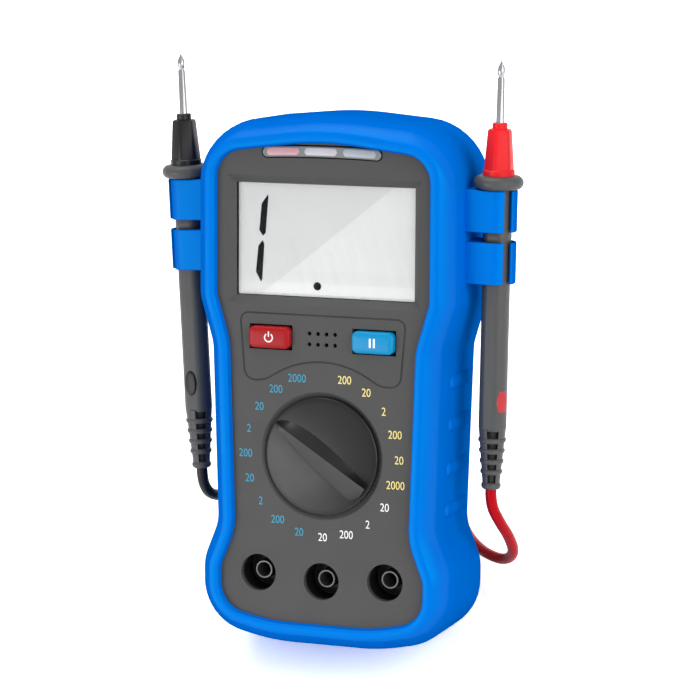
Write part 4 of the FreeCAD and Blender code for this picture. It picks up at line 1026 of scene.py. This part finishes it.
def knob():
    """The dial: a low domed disc with a finger grip across it, ringed by a painted shadow in the gap of its well.
    """
    shape = Shape()
    profile = [KNOB_HUB] + [(KNOB_RADIUS - inset, level) for inset, level in KNOB_EDGE]
    for step in range(13):
        radius = (KNOB_RADIUS - 0.5) * (1 - step / 13)
        profile.append((radius, knob_level(radius)))
    shape.lathe(profile, sides=96)
    shape.loft(grip_rings())
    show("dial_disc", shape, PANEL, PAINT["knob_plastic"], "dial", nodes=("dial_knob",))
    mark_and_shade = Shape()
    away = GRIP_REACH - 2.2
    top = crest(away)
    mark_and_shade.lathe([(0.3, top - 0.5), (0.3, top - 0.03), (0.2, top)], grip_point(away, 0.1, top)[:2], 20)
    # painted shade: a dark strip along the foot of the grip's broad face, beside the pointer's mark
    mark_and_shade.loft(grip_shade_line())
    show("dial_mark_and_shade", mark_and_shade, PANEL, GROOVE_SHADE, "dial")
    # painted shadow: a dark ring on the well's floor round the disc, where the gap falls into shade
    gap = Shape()
    inner, outer, top = KNOB_RADIUS - 0.6, KNOB_RADIUS + 0.45, WELL_FLOOR + 0.06
    wall = [(inner, WELL_FLOOR), (outer, WELL_FLOOR), (outer, top), (inner, top)]
    gap.lathe(wall, sides=96, wrap=True)
    show("dial_gap", gap, PANEL, GROOVE_SHADE, "meter")


knob()

# Probes
GUARD_RADIUS = 6.95
GUARD_TALL = 3.8
GUARD_HUB = 3.0
HANDLE_RADIUS = 3.9
HANDLE_FLAT = 3.55
HANDLE_LOW = -71.2
HANDLE_FOOT = ((3.5, -0.3), (3.8, 0.0), (HANDLE_RADIUS, 0.5))
HANDLE_RINGS = (-50.0, -30.0)
RING_PLACE = -16.8
RING_RADIUS = 4.0
RELIEF_RADIUS = 2.4
RELIEF_GAPS = 5
RELIEF_END = 2.0
RELIEF_BEAD = 0.75
RELIEF_PROUD = 0.3
BEAD_FLAT = 0.8
WINDOW_TURN = {"red": 20.0, "black": 32.0}
RAIL_REACH = 64
INLAY_PLACE = -63.0
INLAY_HALF = (1.8, 3.7)
INLAY_TURN = {"red": 60.0, "black": 10.0}
INLAY_EDGE = ((3.0, 1.0), (3.62, 1.0), (3.8, 0.94), (3.9, 0.78))
FLANGE = (4.4, 1.6)
CAP_LEVELS = ((4.1, 1.4), (4.15, 2.0), (3.35, 12.2), (3.1, 12.7), (2.3, 12.9))
COLLAR = ((2.1, 12.6), (2.1, 14.2), (1.85, 14.5))


def probe_piece(word, name, shape, node, turn=0.0):
    """A piece of one probe, turned about its length, that stands for one node."""
    node = f"{word}_{node}"
    place = PROBES[word] @ Matrix.Rotation(turn, 4, "Z")
    show(f"{word}_{name}", shape, place, PAINT[SLOTS[node]], f"{word}_probe", nodes=(node,))


def handle_ring(radius, level):
    """A ring of the handle, flat at the front."""
    front = -HANDLE_FLAT * radius / HANDLE_RADIUS
    return [(x, max(y, front), level) for x, y in arc(radius, 0, 351, 39)]


def relief_radius(level):
    """How far out the strain relief is at a level."""
    share = (HANDLE_LOW - level) / (HANDLE_LOW - RELIEF_LOW)
    return HANDLE_RADIUS + (RELIEF_RADIUS - HANDLE_RADIUS) * share


def bead(shape, level, half):
    """A round-edged ring of the strain relief, so high to each side of its level."""
    middle = relief_radius(level) + RELIEF_PROUD - half * BEAD_FLAT
    edge = [(middle + x * BEAD_FLAT, level + y) for x, y in arc(half, -90, 90, 10)]
    shape.lathe([(1.0, level - half)] + edge + [(1.0, level + half)], sides=32)


def relief(shape, turn):
    """The strain relief: rings on two rails, turned by so many degrees."""
    pitch = (HANDLE_LOW - RELIEF_LOW - RELIEF_END) / RELIEF_GAPS
    for number in range(1, RELIEF_GAPS):
        bead(shape, HANDLE_LOW - pitch * number, RELIEF_BEAD)
    bead(shape, RELIEF_LOW + RELIEF_END / 2, RELIEF_END / 2)
    for middle in (turn, turn + 180):
        rings = []
        for level in (HANDLE_LOW + 0.2, RELIEF_LOW + 0.2):
            rail = arc(relief_radius(level) - 0.1, middle - RAIL_REACH, middle + RAIL_REACH, 20)
            rings.append([(x, y, level) for x, y in rail])
        shape.loft(rings)


def handle(word):
    """The grip with its round guard, a ring between the clips, and the strain relief below with painted shade
    inside it.
    """
    shape = Shape()
    half = GUARD_TALL / 2
    edge = [(GUARD_RADIUS - half + x, y - half) for x, y in arc(half, -90, 90, 14)]
    shape.lathe([(GUARD_HUB, -GUARD_TALL)] + edge + [(GUARD_HUB, 0.0)])
    levels = [(radius, HANDLE_LOW + rise) for radius, rise in HANDLE_FOOT]
    levels += [(HANDLE_RADIUS, level) for level in (*HANDLE_RINGS, RING_PLACE - 0.9)]
    levels += [(RING_RADIUS, RING_PLACE - 0.6), (RING_RADIUS, RING_PLACE + 0.6)]
    levels += [(HANDLE_RADIUS, RING_PLACE + 0.9), (HANDLE_RADIUS, -GUARD_TALL + 0.5)]
    shape.loft([handle_ring(*level) for level in levels])
    relief(shape, WINDOW_TURN[word])
    probe_piece(word, "handle", shape, "probe_handle")
    # painted shade: a dark core inside the strain relief, seen through the windows between its rings
    shade_core = Shape()
    shade_core.lathe([(0.6 * relief_radius(level), level) for level in (HANDLE_LOW, RELIEF_LOW + 0.3)], sides=32)
    show(f"{word}_relief_shade_core", shade_core, PROBES[word], GROOVE_SHADE, f"{word}_probe")


def inlay(word):
    """The oval set into the handle, turned to the outside."""
    wide, tall = INLAY_HALF
    rings = []
    for out, share in INLAY_EDGE:
        oval = arc(share, 0, 350, 35)
        rings.append([(x * wide, -out, INLAY_PLACE + z * tall) for x, z in oval])
    turn = SIDES[word] * radians(INLAY_TURN[word])
    probe_piece(word, "inlay", Shape().loft(rings), "handle_inlay", turn)


def hexagon(radius):
    """Six sides with soft corners."""
    corners = [(x, y, radius * 0.35) for x, y in arc(radius * 1.06, 30, 330, 5)]
    return rounded(corners, 0.0, 4)


def cap(word):
    """The coloured nose: a flange, a tapered six-sided grip and a collar."""
    shape = Shape()
    wide, tall = FLANGE
    shape.lathe([(2.0, -0.2), (wide, -0.2), (wide, tall - 0.3), (wide - 0.3, tall), (2.0, tall)])
    shape.loft([[(x, y, level) for x, y in hexagon(radius)] for radius, level in CAP_LEVELS])
    shape.lathe(COLLAR, sides=32)
    probe_piece(word, "cap", shape, "tip_cap")


NEEDLE_ROOT = (1.2, 10.0)
NEEDLE_HEAD = ((1.0, 5.0), (0.74, 4.6), (0.74, 4.3), (0.98, 3.8), (1.06, 2.9), (0.94, 1.9), (0.1, 0.2))


def needle(word):
    """The plated needle: a tapering shank, a neck and a spear point, measured down from the tip."""
    tip = extent(f"{word}_probe_needle", PROBES[word])[1].z
    shape = Shape().lathe([NEEDLE_ROOT] + [(radius, tip - down) for radius, down in NEEDLE_HEAD], sides=32)
    probe_piece(word, "needle", shape, "probe_needle")


for probe in SIDES:
    handle(probe)
    inlay(probe)
    cap(probe)
    needle(probe)


# Stage
def seen_rays(tree):
    """One for what the camera sees, also in a reflection or through glass, and nothing for other rays."""
    rays = tree.nodes.new("ShaderNodeLightPath")
    seen = rays.outputs["Is Camera Ray"]
    for name in ("Is Glossy Ray", "Is Transmission Ray"):
        either = tree.nodes.new("ShaderNodeMath")
        either.operation = "MAXIMUM"
        tree.links.new(seen, either.inputs[0])
        tree.links.new(rays.outputs[name], either.inputs[1])
        seen = either.outputs["Value"]
    return seen


def studio():
    """A world that is lighter overhead, and white where it is seen."""
    world = bpy.data.worlds.new("studio")
    SCENE.world = world
    world.use_nodes = True
    tree = world.node_tree
    sky = tree.nodes["Background"]
    sky.inputs["Color"].default_value = (0.96, 0.98, 1.0, 1)
    height = tree.nodes.new("ShaderNodeSeparateXYZ")
    tree.links.new(place_of(tree, "Generated"), height.inputs["Vector"])
    tree.links.new(ranged(tree, height.outputs["Z"], -0.1, 0.9, 0.12, 0.5), sky.inputs["Strength"])
    seen = tree.nodes.new("ShaderNodeBackground")
    seen.inputs["Color"].default_value = (1, 1, 1, 1)
    mix = tree.nodes.new("ShaderNodeMixShader")
    tree.links.new(seen_rays(tree), mix.inputs["Fac"])
    tree.links.new(sky.outputs["Background"], mix.inputs[1])
    tree.links.new(seen.outputs["Background"], mix.inputs[2])
    tree.links.new(mix.outputs["Shader"], tree.nodes["World Output"].inputs["Surface"])


FLOOR_REACH = 700.0
FLOOR_STEPS = 12
FLOOR_BOW = 20.0


def floor():
    """A pale floor, bowed up at the back, that is seen as white and keeps the soft shadow."""
    material = moulded("floor_paint", (0.9, 0.9, 0.9), 0.8, shift=0.01, grain=60.0, depth=0.02, shine=0.1)
    tree = material.node_tree
    white = mixed(tree, seen_rays(tree), (0.5, 0.5, 0.5), (1.9, 1.9, 1.9))
    tree.links.new(white, tree.nodes["Principled BSDF"].inputs["Base Color"])
    places = [FLOOR_REACH * (2 * step / FLOOR_STEPS - 1) for step in range(FLOOR_STEPS + 1)]
    points = []
    for row, along in enumerate(places):
        bow = FLOOR_BOW * (row / FLOOR_STEPS) ** 8
        points += [(across, along, bow) for across in places]
    faces = []
    for row in range(FLOOR_STEPS):
        for column in range(FLOOR_STEPS):
            corner = row * len(places) + column
            beyond = corner + len(places)
            faces.append((corner, corner + 1, beyond + 1, beyond))
    show("floor", Shape().add(points, faces), Matrix.Identity(4), material, None)


LIT_MIDDLE = Vector((0.0, 0.0, 0.08))


def lamp(name, place, power, wide, tall):
    """A soft rectangular lamp aimed at the part's middle."""
    data = bpy.data.lights.new(name, "AREA")
    data.shape = "RECTANGLE"
    data.size = wide
    data.size_y = tall
    data.energy = power
    thing = placed(name, data)
    thing.location = place
    thing.rotation_euler = (Vector(place) - LIT_MIDDLE).to_track_quat("Z", "Y").to_euler()


def lights():
    """A large soft lamp low at the left, broad ones at the right front and the right, and one overhead."""
    lamp("key_lamp", (-0.72, -0.98, 0.27), 7.6, 0.8, 0.5)
    lamp("front_lamp", (0.85, -0.8, 0.55), 4.8, 0.7, 0.7)
    lamp("side_lamp", (0.9, -0.2, 0.5), 4.5, 0.5, 0.9)
    lamp("top_lamp", (-0.25, 0.3, 1.05), 6.0, 0.8, 0.6)


studio()
floor()
lights()
SCENE.view_settings.view_transform = "Standard"
